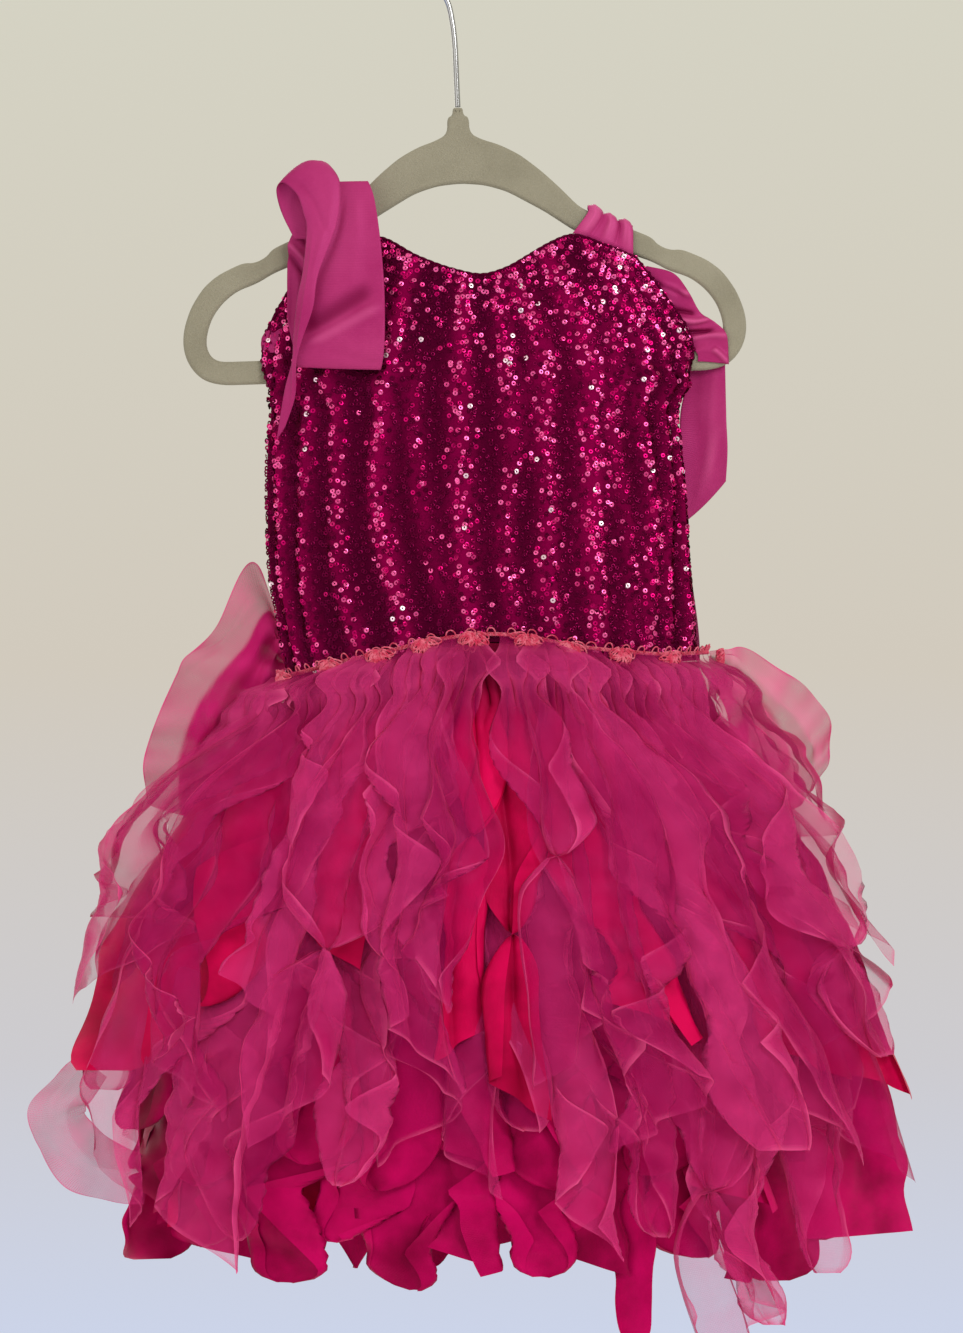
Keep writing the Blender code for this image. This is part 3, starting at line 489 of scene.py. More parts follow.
# Where the gathers' ridges run: share across at mid height, half width, height, lean, length.
ridges = np.array([
    (-0.93, 0.040, 0.8, 0.00, 1.0), (-0.79, 0.045, 1.0, 0.01, 1.0), (-0.63, 0.050, 0.9, -0.01, 0.9),
    (-0.48, 0.050, 0.9, 0.02, 0.9), (-0.30, 0.045, 1.0, 0.00, 0.9), (-0.18, 0.040, 0.7, 0.03, 0.5),
    (-0.05, 0.050, 1.0, -0.01, 1.0), (0.10, 0.045, 0.8, -0.02, 0.8), (0.22, 0.050, 0.9, 0.01, 1.0),
    (0.38, 0.060, 1.0, 0.00, 1.0), (0.50, 0.045, 0.7, 0.02, 0.7), (0.62, 0.050, 0.9, 0.00, 1.0),
    (0.74, 0.045, 0.8, -0.01, 0.9), (0.86, 0.040, 0.9, 0.01, 1.0), (0.95, 0.030, 0.6, 0.00, 1.0),
])


# Gathers: a sum of rounded bumps across, each leaning, wandering on a sine and fading at its
# ends, plus small random pulls. They flatten at the neckline, the seam and the sides.
def rucheOut(share, down):
    random = np.random.default_rng(ruche["seed"])
    grow = np.interp(down, (0.0, 0.1, 0.3, 0.9, 1.0), (0.0, 0.2, 0.8, 1.0, 0.25))
    share = share + 0.012 * np.sin(down * 8 + 9 * share)
    wave = 0.0
    # One pass for each ridge, over the whole grid.
    for at, width, height, lean, length in ridges:
        fade = ease((length - np.abs(down - 0.6) * 1.15) / 0.25)
        waver = 0.008 * np.sin(down * random.uniform(7, 13) + random.uniform(0, 6))
        wave = wave + height * fade * bell(share, at + lean * (down - 0.5) * 2 + waver, width)
    wave = np.clip(wave, 0, 1.15)
    fine = 0.0
    for pull in range(ruche["pulls"]):
        at, reach = random.uniform(-0.95, 0.95), random.uniform(0.015, 0.04)
        middle, length = random.uniform(0.2, 0.95), random.uniform(0.12, 0.35)
        fine = fine + random.uniform(-1, 1) * bell(share, at, reach) * bell(down, middle, length)
    flat = ease((1.0 - abs(share)) / 0.1)
    return flat * grow * (ruche["height"] * wave + ruche["fine"] * (1.0 + fine)), wave


# The front's surface and its ridges: share across and down, pushed out by the gathers.
def frontSurface(share, down, lift):
    angle, drop = bodiceAt(True, share, down)
    out, wave = rucheOut(share, down)
    return onDress(angle, drop, out + lift), wave


# The back's surface: two soft sine waves across and down, fading towards the borders.
def backSurface(share, down):
    angle, drop = bodiceAt(False, share, down)
    soft = np.sin(7 * share + 2) * np.sin(4 * down + 1) + 0.6 * np.sin(19 * share + 3 * down)
    swell = backPanel["height"] * np.sin(np.pi * down) * (1 + soft) * ease((1 - abs(share)) / 0.15)
    return onDress(angle, drop, backPanel["lift"] + swell)[:, ::-1]


# Shares across and down a panel, as many as its settings ask.
def panelShares(panel):
    return np.linspace(-1, 1, panel["columns"])[None, :], np.linspace(0, 1, panel["rows"])[:, None]


# The mesh under the sequins: dark, with a painted highlight on the gathers' ridges, rough with fine specks.
def sequinClothPaint():
    paint = Paint("sequinCloth")
    ridge = paint.attribute("ridge")
    patch = paint.noise(38, 3, stretch=(1, 1, 0.35))
    speck = paint.noise(900, 2)
    # Painted highlight: the ridges of the gathers are painted paler, mixed with random patches and specks.
    light = paint.ramp(ridge * 0.8 + patch * 0.6 + speck * 0.5, 0.5, 1.7)
    paint.set(Base_Color=paint.blend(light, (0.055, 0.0, 0.014), (0.25, 0.0, 0.055)), Roughness=0.6)
    paint.set(Specular_IOR_Level=0.15, Specular_Tint=(1.0, 0.05, 0.3, 1))
    paint.set(Sheen_Weight=0.06, Sheen_Roughness=0.4, Sheen_Tint=(0.8, 0.02, 0.25, 1))
    paint.bump(speck, 0.0006, 0.8)
    return paint.material


# Shiny foil of one fuchsia, painted by each sequin's tone from shaded dark wine through lit pink to a nearly
# white painted glint.
def sequinPaint():
    paint = Paint("sequins")
    tone = paint.attribute("tone")
    low = paint.blend(paint.ramp(tone, 0.0, 0.5), (0.08, 0.0, 0.02), (0.55, 0.002, 0.12))
    middle = paint.blend(paint.ramp(tone, 0.45, 0.85), low, (0.98, 0.13, 0.40))
    colour = paint.blend(paint.ramp(tone, 0.88, 1.0), middle, (1.0, 0.72, 0.84))
    paint.set(Base_Color=colour, Metallic=0.8, Roughness=0.28, Specular_Tint=(1.0, 0.2, 0.45, 1))
    return paint.material


# glints: the share of lit sequins that are painted as nearly white glints.
sequins = {
    "across": 2.8, "hole": 0.9, "dish": 0.16, "sides": 8, "lift": 0.45,
    "columns": 82, "rows": 82, "kept": 0.9, "jitter": 0.9, "lean": 0.16, "glints": 0.035, "seed": 21,
}


# Ring sequins: at each place of a shifted grid a shallow ring, circles of cosine and sine square
# to the cloth's normal with a small random lean. Their tones are painted light and shade: pale where
# the ridges catch the light, in uneven runs down each one and more near the top, with a few painted
# white glints, and painted dark wine in the valleys' shade.
def addSequins():
    random = np.random.default_rng(sequins["seed"])
    col, row = np.meshgrid(np.arange(sequins["columns"]), np.arange(sequins["rows"]))
    share = (col + 0.5 * (row % 2) + 0.3) / sequins["columns"] * 2 - 1
    down = (row + 0.4) / sequins["rows"]
    halfWide, long = 120, 215
    share = (share + random.normal(0, sequins["jitter"] / halfWide, share.shape)).ravel().clip(-0.995, 0.995)
    down = (down + random.normal(0, sequins["jitter"] / long, down.shape)).ravel().clip(0.004, 0.985)
    kept = random.random(share.size) < sequins["kept"]
    share, down = share[kept], down[kept]
    lift, step = ruche["lift"] + sequins["lift"], 0.004
    middle, wave = frontSurface(share, down, lift)
    acrossWay = frontSurface(share + step, down, lift)[0] - frontSurface(share - step, down, lift)[0]
    downWay = frontSurface(share, down + step, lift)[0] - frontSurface(share, down - step, lift)[0]
    normal = unit(unit(np.cross(downWay, acrossWay)) + random.normal(0, sequins["lean"], middle.shape))
    first = unit(np.cross(normal, (0, 0, 1.0)))
    second = np.cross(normal, first)
    turn = np.arange(sequins["sides"]) * tau / sequins["sides"]
    circle = np.cos(turn)[None, :, None] * first[:, None] + np.sin(turn)[None, :, None] * second[:, None]
    outer, inner = sequins["across"] / 2, sequins["hole"] / 2
    rings = np.stack([
        middle[:, None] + circle * outer,
        middle[:, None] + circle * (outer + inner) / 2 + sequins["dish"] * normal[:, None],
        middle[:, None] + circle * inner,
    ], 1)
    patch = 0.5 + 0.5 * np.sin(share * 23 + 2.2 * np.sin(down * 7)) * np.sin(down * 17 + 9 * share)
    run = 0.5 + 0.5 * np.sin(down * 29 + 14 * np.sin(share * 12))
    yoke = np.interp(down, (0, 0.14, 0.3), (0.55, 0.4, 0.0))
    strings = np.clip(wave, 0, 1.05) ** 2.6 * (0.28 + 0.55 * patch + 0.45 * run)
    chance = np.clip(strings + yoke * (0.35 + 0.65 * patch), 0.008, 0.85)
    # Painted light: lit sequins, chosen mostly on the ridges and near the top, get pale tones; the rest stay
    # painted dark in shade.
    lit = random.random(share.size) < chance
    dark = random.uniform(0.0, 0.36, share.size) * (0.15 + 0.85 * np.clip(wave, 0, 1) ** 1.5)
    tone = np.where(lit, 0.42 + 0.48 * random.random(share.size) ** 1.4, dark)
    # A few lit sequins become painted white glints.
    tone = np.where(lit & (random.random(share.size) < sequins["glints"]), 1.0, tone)
    piece = gridMesh("sequins", rings, {"tone": tone[:, None, None]}, closed=True)
    return finishPiece(piece, sequinPaint(), "sequins")


# Fine knit: a low rib from the threads, drifting between two dark pinks.
def knitPaint():
    paint = Paint("knit")
    across, along = paint.threads(0.0011)
    rib = across.sine() * 0.6 + along.sine() * 0.4
    shade = paint.ramp(paint.noise(22, 2) * 0.35 + paint.noise(1800, 2) * 0.5, 0.1, 0.8)
    paint.set(Base_Color=paint.blend(shade, (0.15, 0.001, 0.046), (0.23, 0.004, 0.078)))
    paint.set(Roughness=0.8, Specular_IOR_Level=0.25, Sheen_Weight=0.15, Sheen_Roughness=0.5)
    paint.set(Sheen_Tint=(0.9, 0.3, 0.5, 1)).bump(rib, 0.00025, 0.6)
    return paint.material


edgeRoll = {"radius": 0.75, "uneven": 0.18, "lift": 0.7, "down": 0.32, "side": 40, "top": 159, "sides": 8}


# The folded edge of the neckline and armholes: a tube up the panel's left side, along its top and
# down its right side, its radius swelling on a sine.
def addEdgeRoll(front, paint):
    side = np.linspace(edgeRoll["down"], 0, edgeRoll["side"])
    top = np.linspace(-1, 1, edgeRoll["top"] + 2)[1:-1]
    share = np.concatenate([np.full(len(side), -1.0), top, np.full(len(side), 1.0)])
    down = np.concatenate([side, 0 * top, side[::-1]])
    angle, drop = bodiceAt(front, share, down)
    path = onDress(angle, drop, edgeRoll["lift"])
    radius = edgeRoll["radius"] + edgeRoll["uneven"] * np.sin(np.arange(len(path)) * 2.1)
    name = "edgeRollFront" if front else "edgeRollBack"
    # A fixed ridge value of 0.2, which the front's sequin cloth reads as a faint painted highlight.
    piece = tubes(name, [path], radius[None], edgeRoll["sides"], {"ridge": 0.2})
    return finishPiece(piece, paint, "sequins" if front else "knit")


# Both panels, each with the sequins, edge roll and trim that are sewn to it.
def addBodice():
    cloth, crochet = sequinClothPaint(), crochetPaint()
    grid, ridge = frontSurface(*panelShares(ruche), ruche["lift"])
    # The ridges' heights go to the cloth as its painted highlight.
    front = finishPiece(gridMesh("bodiceFront", grid, {"ridge": ridge}), cloth, "sequins", "bodice_front")
    together = [addSequins(), addEdgeRoll(True, cloth), *addTrim("front", 0.0, crochet)]
    declareSheet(grid, "hanger_body")
    knit = knitPaint()
    grid = backSurface(*panelShares(backPanel))
    back = finishPiece(gridMesh("bodiceBack", grid), knit, "knit", "bodice_back")
    together = [addEdgeRoll(False, knit), *addTrim("back", np.pi, crochet)]
    declareSheet(grid, "hanger_body")


# Matt yarn with a twist across it, in two pinks.
def crochetPaint():
    paint = Paint("crochet")
    across, along = paint.threads(0.0007)
    shade = paint.ramp(paint.noise(400, 2), 0.35, 0.7)
    paint.set(Base_Color=paint.blend(shade, (0.80, 0.035, 0.12), (1.0, 0.22, 0.33)))
    paint.set(Roughness=0.75, Specular_IOR_Level=0.3, Sheen_Weight=0.3, Sheen_Roughness=0.4)
    paint.set(Sheen_Tint=(1.0, 0.6, 0.65, 1)).bump((across + along).sine(), 0.0002, 0.6)
    return paint.material


# The crochet trim over the waist seam: how far up each part stands from the seam, how far out,
# and how thick its yarn is.
trim = {
    "limit": 88.5, "bandUp": (5.2, 3.2), "bandOut": 2.9,
    "stitches": 82, "chainPoints": 640, "chainUp": (4.2, 0.9), "chainOut": (3.3, 0.4), "chainYarn": 0.24,
    "picots": 33, "picotUp": 5.0, "picotWide": (0.018, 0.026), "picotTall": (2.2, 3.6), "picotYarn": 0.42,
    "clusters": 10, "firstCluster": -0.93, "step": 0.214, "loops": 19, "loopUp": 4.6, "fan": 150,
    "loopLong": (5.5, 10.0), "loopWide": (1.2, 2.4), "loopOut": 6.4, "loopYarn": 0.45,
    "points": 14, "sides": 5, "seed": 8,
}


# A place on the trim: round the dress, so far up from the seam and so far out.
def onTrim(angle, up, out):
    return onDress(angle, waistDrop(angle) - up, out)


# Two strands that twist round each other: sine up and down, cosine in and out.
def trimChain(middle, limit):
    angle = middle + np.linspace(-limit, limit, trim["chainPoints"])
    phase = np.linspace(0, trim["stitches"] * tau, trim["chainPoints"])
    (up, sway), (out, twist) = trim["chainUp"], trim["chainOut"]
    turns = (0, tau / 2)
    return [onTrim(angle, up + sway * np.sin(phase + a), out + twist * np.cos(phase + a)) for a in turns]


# Small arches between the stitches on the upper edge: half turns of cosine across and sine up.
def trimArches(middle, limit, random):
    bend = np.linspace(0, np.pi, trim["points"])
    arches = []
    for start in middle + np.linspace(-limit * 0.97, limit * 0.97, trim["picots"]):
        wide, tall = random.uniform(*trim["picotWide"]), random.uniform(*trim["picotTall"])
        up = trim["picotUp"] + tall * np.sin(bend)
        arches.append(onTrim(start + wide * np.cos(bend), up, 3.4 + 0.8 * np.sin(bend)))
    return arches


# Every 24 mm a cluster of loops that hang fanwise. A loop is an open oval, cosine along and sine
# aside, turned by its place in the fan.
def trimLoops(middle, random):
    turn = np.linspace(0.15 * tau, 1.12 * tau, trim["points"])
    halfWaist = 118
    loops = []
    for cluster in range(trim["clusters"]):
        share = trim["firstCluster"] + trim["step"] * cluster + random.uniform(-0.012, 0.012)
        start = middle + np.arcsin(np.clip(share, -0.999, 0.999)) * (1 if middle == 0 else -1)
        for loop in range(trim["loops"]):
            fan = np.radians((loop / (trim["loops"] - 1) - 0.5) * trim["fan"] + random.uniform(-9, 9))
            long, wide = random.uniform(*trim["loopLong"]), random.uniform(*trim["loopWide"])
            along, aside = long * (0.5 - 0.5 * np.cos(turn)), wide * np.sin(turn)
            right = along * np.sin(fan) + aside * np.cos(fan)
            below = along * np.cos(fan) - aside * np.sin(fan)
            out = trim["loopOut"] + 2.0 * np.sin(along / long * np.pi) + random.uniform(-0.3, 0.5)
            loops.append(onTrim(start + right / halfWaist, trim["loopUp"] - below, out))
    return loops


# The trim of one side: a flat band on the seam and the yarn that is worked over it.
def addTrim(side, middle, paint):
    random = np.random.default_rng(trim["seed"])
    limit = np.radians(trim["limit"])
    angle = middle + np.linspace(-limit, limit, 61)[None, :]
    grid = onTrim(angle, np.linspace(*trim["bandUp"], 4)[:, None], trim["bandOut"])
    band = gridMesh("waistTrimBand" + side.capitalize(), grid)
    finishPiece(band, paint, "crochet", "waist_trim_" + side)
    strands = [
        tubes("chain", trimChain(middle, limit), trim["chainYarn"], trim["sides"]),
        tubes("picots", trimArches(middle, limit, random), trim["picotYarn"], trim["sides"]),
        tubes("clusters", trimLoops(middle, random), trim["loopYarn"], trim["sides"]),
    ]
    yarn = joined("waistTrimYarn" + side.capitalize(), strands)
    return [band, finishPiece(yarn, paint, "crochet")]


# Several objects made one.
def joined(name, pieces):
    chosen = {"active_object": pieces[0], "object": pieces[0], "selected_editable_objects": pieces}
    with bpy.context.temp_override(**chosen):
        bpy.ops.object.join()
    pieces[0].name = name
    return pieces[0]


addBodice()
print("bodice done")


# Each ribbon and loose loop: its ribs from the first end, each a left, middle and right place.
ribs = {
    "ribbonLoopLeft": [
        ((-88, -11.8, -172), (-82, -12.4, -172), (-76, -12.0, -172)),
        ((-94, -11.2, -160), (-84, -12.4, -157), (-73, -12.0, -155)),
        ((-97, -11.4, -151), (-84, -13.4, -141), (-70, -12.4, -138)),
        ((-97.4, -13.5, -145), (-83, -15.5, -131.6), (-70.5, -15, -132)),
        ((-94, -18, -142.5), (-80, -20, -136), (-64, -19.5, -141)),
        ((-86.5, -21, -149), (-75, -23, -150), (-63.2, -22, -153.5)),
        ((-83, -22, -158.5), (-74, -24.5, -163), (-65, -23.5, -165)),
        ((-81, -23, -168), (-75, -25.5, -172), (-68, -25, -174)),
        ((-83, -24, -190), (-79, -27, -191), (-75, -27, -193)),
        ((-86, -24.5, -205), (-82, -27.5, -207), (-77.5, -28, -210)),
        ((-88, -24.5, -226), (-85.5, -27, -226), (-83, -28, -226)),
        ((-88.8, -23, -238), (-87.6, -24.5, -238), (-86.3, -25.5, -238)),
        ((-93, -17.5, -253), (-90, -19, -254), (-87.3, -19.5, -256)),
        ((-97.4, -14.5, -279), (-95, -15.5, -275.5), (-92.7, -16, -272))],
    "ribbonPanelLeft": [
        ((-66, -8.0, -166), (-58, -8.0, -166), (-50, -8.2, -166)),
        ((-66, -9.0, -150), (-57, -9.2, -150), (-47, -9.4, -150)),
        ((-65, -12.0, -141.5), (-57, -12, -141.3), (-49, -12, -141.2)),
        ((-66, -15, -150), (-56, -15, -150), (-45.6, -15, -150)),
        ((-69, -18, -170), (-57, -18, -170), (-42.5, -17.5, -170)),
        ((-80, -20, -195), (-61, -20.5, -195), (-40.2, -20, -195)),
        ((-85, -21.5, -217), (-63, -22.5, -217), (-39.6, -22, -217)),
        ((-87, -21.5, -234), (-63, -23, -234), (-40.3, -22.5, -234)),
        ((-86.5, -19.5, -240.5), (-64, -20, -241.5), (-42, -20, -242)),
        ((-85, -17.5, -234), (-63, -17.4, -234), (-42, -17.6, -234)),
        ((-84, -17.2, -217), (-63, -17.2, -217), (-42, -17.4, -217))],
    "ribbonKnotLeft": [
        ((-86, -8.6, -164), (-82.5, -9.0, -164), (-79, -8.6, -164)),
        ((-91, -8.2, -173), (-85, -9.4, -173), (-79.5, -8.6, -173)),
        ((-92, -8.0, -187), (-86.5, -9.6, -187), (-81.5, -9.0, -187)),
        ((-92, -9.2, -203), (-87.5, -10.6, -203), (-83.5, -10.8, -203)),
        ((-91.5, -11.8, -216), (-88.5, -12.6, -216), (-85.6, -12.8, -216)),
        ((-87.9, -14.4, -232), (-86.5, -14.8, -232), (-85.2, -15.1, -232))],
    "bindingLeft": [
        ((-84, -3.6, -200), (-82, -4.6, -202), (-80, -5.2, -204)),
        ((-91, -4.4, -209), (-88, -5.8, -212), (-85, -6.6, -215)),
        ((-100, -4.6, -217), (-96, -6.4, -220), (-92, -7.2, -223)),
        ((-105.8, -4.6, -224), (-101, -6.6, -226), (-97, -7.4, -228)),
        ((-105.8, -4.4, -232), (-102, -6.2, -232), (-99, -6.8, -232))],
    "ribbonRight": [
        ((96, -1.2, -188), (98, -1.2, -186.6), (100, -1.2, -185.2)),
        ((104, -1.4, -197), (109, -1.6, -193), (114, -1.0, -189)),
        ((113, -1.6, -208), (117, -0.6, -203.5), (122, -1.2, -198.5)),
        ((118.5, -1.6, -218), (123.5, -2.2, -214), (128.5, -1.2, -210)),
        ((120.5, -1.4, -226), (128, -1.0, -220.5), (136.5, -2.6, -215.5)),
        ((126.5, -3.4, -232), (133.5, -3.2, -227), (142.5, -3.4, -222.5)),
        ((127, -3.6, -236.5), (134, -3.4, -236.8), (143.6, -3.6, -238))],
    "ribbonTailRight": [
        ((122, 4.2, -236), (132, 4.0, -235), (142, 4.0, -234)),
        ((121.5, 5.2, -247), (132, 4.8, -247), (142.3, 4.2, -247)),
        ((118, 6.0, -266), (130.5, 7.4, -266), (142.8, 5.6, -264)),
        ((119, 6.0, -293), (131.5, 8.0, -288), (143.5, 6.0, -283)),
        ((120.5, 6.0, -322), (132, 7.6, -312), (142.6, 6.0, -300))],
    "organzaLoopWaist": [
        ((-92.9, 7.4, -385), (-90.5, 8.7, -393), (-87.8, 9.6, -401)),
        ((-112, 12, -343), (-104, 11, -368), (-92, 9, -394)),
        ((-131, 12, -377), (-117, 10, -389), (-94, 6, -402)),
        ((-150, 11, -399), (-130, 8, -410), (-97, 3, -419)),
        ((-163, 10, -428), (-141, 8, -436), (-104, 2, -440)),
        ((-169.6, 10, -449), (-148, 8, -456), (-112, 3, -461)),
        ((-168.5, 11, -473), (-151, 9, -479), (-122, 5, -484))],
    "organzaRuffleRight": [
        ((133.4, 5.1, -397), (133.6, 5.0, -394), (133.8, 5.0, -391)),
        ((141, 13, -418), (147, 14, -403), (153, 12, -390)),
        ((150, 15, -441), (163, 17, -423), (178, 13, -405)),
        ((156, 16, -460), (175, 18, -441), (195, 12, -421)),
        ((160, 16, -476), (180, 18, -459), (200, 11, -441)),
        ((164, 16, -488), (180, 17, -476), (194, 11, -462))],
    "organzaLoopHem": [
        ((-203, -6, -606), (-196, -8, -612), (-188, -10, -618)),
        ((-216, -6, -617), (-206, -9, -623), (-195, -10, -629)),
        ((-230, -6, -634), (-215, -10, -636), (-200, -10, -636)),
        ((-226, -7, -655), (-210, -11, -650), (-195, -10, -643)),
        ((-210, -8, -676), (-198, -12, -663), (-187, -11, -650)),
        ((-188, -9, -684), (-182, -12, -670), (-176, -12, -656)),
        ((-168, -10, -685), (-166, -12, -674), (-163, -13, -661))],
}
# Creases: from along, across to along, across, then height and width.
ribbonLooks = {
    "ribbonLoopLeft": {
        "rows": 130, "across": 21, "node": "ribbon_loop_left", "rests": "strap_left",
        "creases": (
            (0.30, -0.9, 0.52, 0.5, -0.5, 2.2), (0.36, 0.7, 0.60, 0.2, 0.5, 2.0),
            (0.55, -0.4, 0.78, 0.1, 0.5, 1.5), (0.80, -0.6, 0.95, 0.6, 0.5, 1.4),
            (0.10, -0.5, 0.25, 0.6, -0.6, 2.5),
        ),
    },
    "ribbonPanelLeft": {
        "rows": 130, "across": 41, "node": "ribbon_panel_left", "rests": "strap_left",
        "creases": (
            (0.655, -0.65, 0.560, 0.80, 1.7, 3.2), (0.615, -0.8, 0.520, 0.6, -1.5, 5.0),
            (0.32, 0.1, 0.50, 0.25, 0.5, 4.0), (0.34, -0.6, 0.62, -0.85, -0.7, 3.0),
            (0.68, -0.2, 0.74, 0.9, -0.4, 4.0),
        ),
    },
    "ribbonKnotLeft": {
        "rows": 70, "across": 17, "node": "ribbon_knot_left", "rests": "strap_left",
        "creases": (
            (0.22, -1.0, 0.38, 1.0, 1.5, 1.3), (0.30, -1.0, 0.46, 0.9, -1.5, 1.6),
            (0.08, -0.6, 0.24, 0.8, -1.1, 1.4), (0.48, 0.2, 0.95, 0.4, 0.7, 1.4),
            (0.40, -0.6, 0.8, -0.4, -0.4, 1.2),
        ),
    },
    "bindingLeft": {
        "rows": 60, "across": 11, "node": "binding_left", "rests": "bodice_front",
        "creases": (
            (0.25, -1.0, 0.35, 1.0, 0.5, 1.2), (0.62, -1.0, 0.7, 1.0, 0.5, 1.5),
            (0.8, -1.0, 0.78, 1.0, -0.5, 1.0),
        ),
    },
    "ribbonRight": {
        "rows": 110, "across": 21, "node": "ribbon_right", "rests": "bodice_front",
        "creases": (
            (0.10, -1.0, 0.30, 0.4, -2.0, 1.5), (0.18, -0.4, 0.36, 1.0, 2.0, 1.6),
            (0.34, -1.0, 0.47, 0.5, -2.2, 1.4), (0.44, -0.9, 0.60, 0.9, 2.2, 1.7),
            (0.55, -1.0, 0.72, 0.5, -2.3, 1.5), (0.66, -0.8, 0.84, 1.0, 1.9, 1.8),
            (0.90, 0.2, 0.99, 0.95, 1.8, 1.2), (0.80, -1.0, 0.92, 0.2, 0.6, 2.0),
        ),
    },
    "ribbonTailRight": {
        "rows": 80, "across": 25, "node": "ribbon_tail_right", "rests": "hanger_body",
        "creases": (
            (0.08, 0.5, 0.9, 0.2, 0.9, 4.0), (0.0, -0.5, 0.6, -0.2, -0.6, 5.0),
            (0.55, 0.9, 0.95, -0.4, 0.6, 4.0),
        ),
    },
}
# The straps: shares of the half width where each starts and ends, and how far its inner border
# leans outward on the arm.
straps = {
    "strapRight": {"node": "strap_right", "first": 0.56, "last": 0.99, "lean": 8.0},
    "strapLeft": {"node": "strap_left", "first": -0.96, "last": -0.57, "lean": 0.0},
}
ribbonWall = 0.35


# Smooth paths along the left, middle and right of the ribs, and a parabola across through them.
def ribbonGrid(name, rows, across):
    left, middle, right = (smoothPath(np.array(ribs[name])[:, i], rows)[:, None] for i in range(3))
    u = np.linspace(-1, 1, across)[None, :, None]
    return left * u * (u - 1) / 2 + middle * (1 - u * u) + right * u * (u + 1) / 2


# Satin ribbon: close fine ribs across it, a soft sheen, a faint drift between two pinks, and by its folds
# painted shade in the troughs and a painted highlight on the ridges.
def ribbonPaint():
    paint = Paint("ribbon")
    across, along = paint.threads(0.0009)
    cloud = paint.noise(22, 3)
    tone = paint.ramp(cloud + paint.noise(500, 2) * 0.12, 0.3, 0.8)
    fold = paint.attribute("fold")
    plain = paint.blend(tone, (0.36, 0.014, 0.115), (0.48, 0.038, 0.175))
    # Painted shade in the creases' troughs and a painted highlight on their ridges, by how far each point
    # stands out.
    paintedTroughShade = paint.blend(paint.ramp(fold, -1.9, -0.1), (0.19, 0.002, 0.045), plain)
    paint.set(Base_Color=paint.blend(paint.ramp(fold, 0.3, 2.6), paintedTroughShade, (0.62, 0.085, 0.26)))
    paint.set(Roughness=cloud * 0.12 + 0.36)
    paint.set(Specular_IOR_Level=0.5, Specular_Tint=(1.0, 0.2, 0.6, 1))
    paint.set(Sheen_Weight=0.08, Sheen_Roughness=0.35, Sheen_Tint=(0.9, 0.4, 0.9, 1))
    paint.bump(along.sine() * 0.35 + across.sine() * 0.1 + cloud * 2, 0.00012, 0.5)
    return paint.material


# How high the hanger's arm reaches at x: its outline, turned by cosine and sine of the tilt.
def armTop(x):
    arm = np.array([p for p in hangerOuter if 10.0 < p[0] < 100.0]).T
    side = np.sign(x)
    (right, up), tilt = hanger["at"], np.radians(hanger["tilt"])
    places = right + side * arm[0] * np.cos(tilt) - arm[1] * np.sin(tilt)
    heights = up + side * arm[0] * np.sin(tilt) + arm[1] * np.cos(tilt)
    return np.interp(x * side, places * side, heights)


# A strap: smooth paths from the front's top edge round the hanger's arm to the back's top edge,
# side by side.
def strapGrid(strap, count=100):
    profile = ((-1, 3.3, -2.0), (-1, 2.4, 1.2), (0, 0.0, 2.2), (1, 2.4, 1.2), (1, 3.3, -2.0))
    first, last = strap["first"], strap["last"]
    columns = []
    for share in np.linspace(first, last, count):
        angle = np.radians(58 * share)
        front = onDress(angle, follow(frontTop[:, 0], frontTop[:, 1], share) - 0.6)
        back = onDress(np.pi - angle, follow(backTop[:, 0], backTop[:, 1], share) - 0.6)
        x = front[0] + strap["lean"] * (last - share) / (last - first)
        over = [(x, side * wide, armTop(x) + up) for side, wide, up in profile]
        columns.append(smoothPath([front, *over, back], 27))
    return np.swapaxes(np.array(columns), 0, 1)[::-1]


# A strap's creases: three broad folds that lean at random, a sharp trough beside each and a small
# ridge near its lower end.
def strapCreases(random):
    lines = []
    for at in (-0.64, -0.02, 0.6):
        at = at + random.uniform(-0.06, 0.06)
        slant = random.uniform(-0.2, 0.2)
        high, wide = random.uniform(1.4, 2.6), random.uniform(3.2, 4.6)
        lines.append((0.1, at - slant, 0.97, at + slant, high, wide))
        deep, narrow = random.uniform(0.9, 1.6), random.uniform(0.8, 1.1)
        lines.append((0.2, at + 0.3 - slant, 0.9, at + 0.3 + slant, -deep, narrow))
        lines.append((0.5, at - 0.12, 0.92, at - 0.05, random.uniform(0.5, 0.9), 1.1))
    return lines


# The creased cloth, which knows how far each point stands out: by that its folds get painted shade
# in the troughs and a painted highlight on the ridges.
def addRibbon(name, node, plain, lines, paint, rests):
    grid = crease(plain, lines)
    fold = ((grid - plain) * gridNormals(plain)).sum(-1)
    piece = thicken(gridMesh(name, grid, {"fold": fold}), ribbonWall)
    finishPiece(piece, paint, "ribbon", node)
    declareSheet(grid, rests)


# Both straps, and then each ribbon from its ribs.
def addRibbons():
    paint = ribbonPaint()
    random = np.random.default_rng(3)
    for name, strap in straps.items():
        lines = strapCreases(random)
        addRibbon(name, strap["node"], strapGrid(strap), lines, paint, "hanger_body")
    for name, look in ribbonLooks.items():
        plain = ribbonGrid(name, look["rows"], look["across"])
        addRibbon(name, look["node"], plain, look["creases"], paint, look["rests"])


addRibbons()
print("ribbons done")


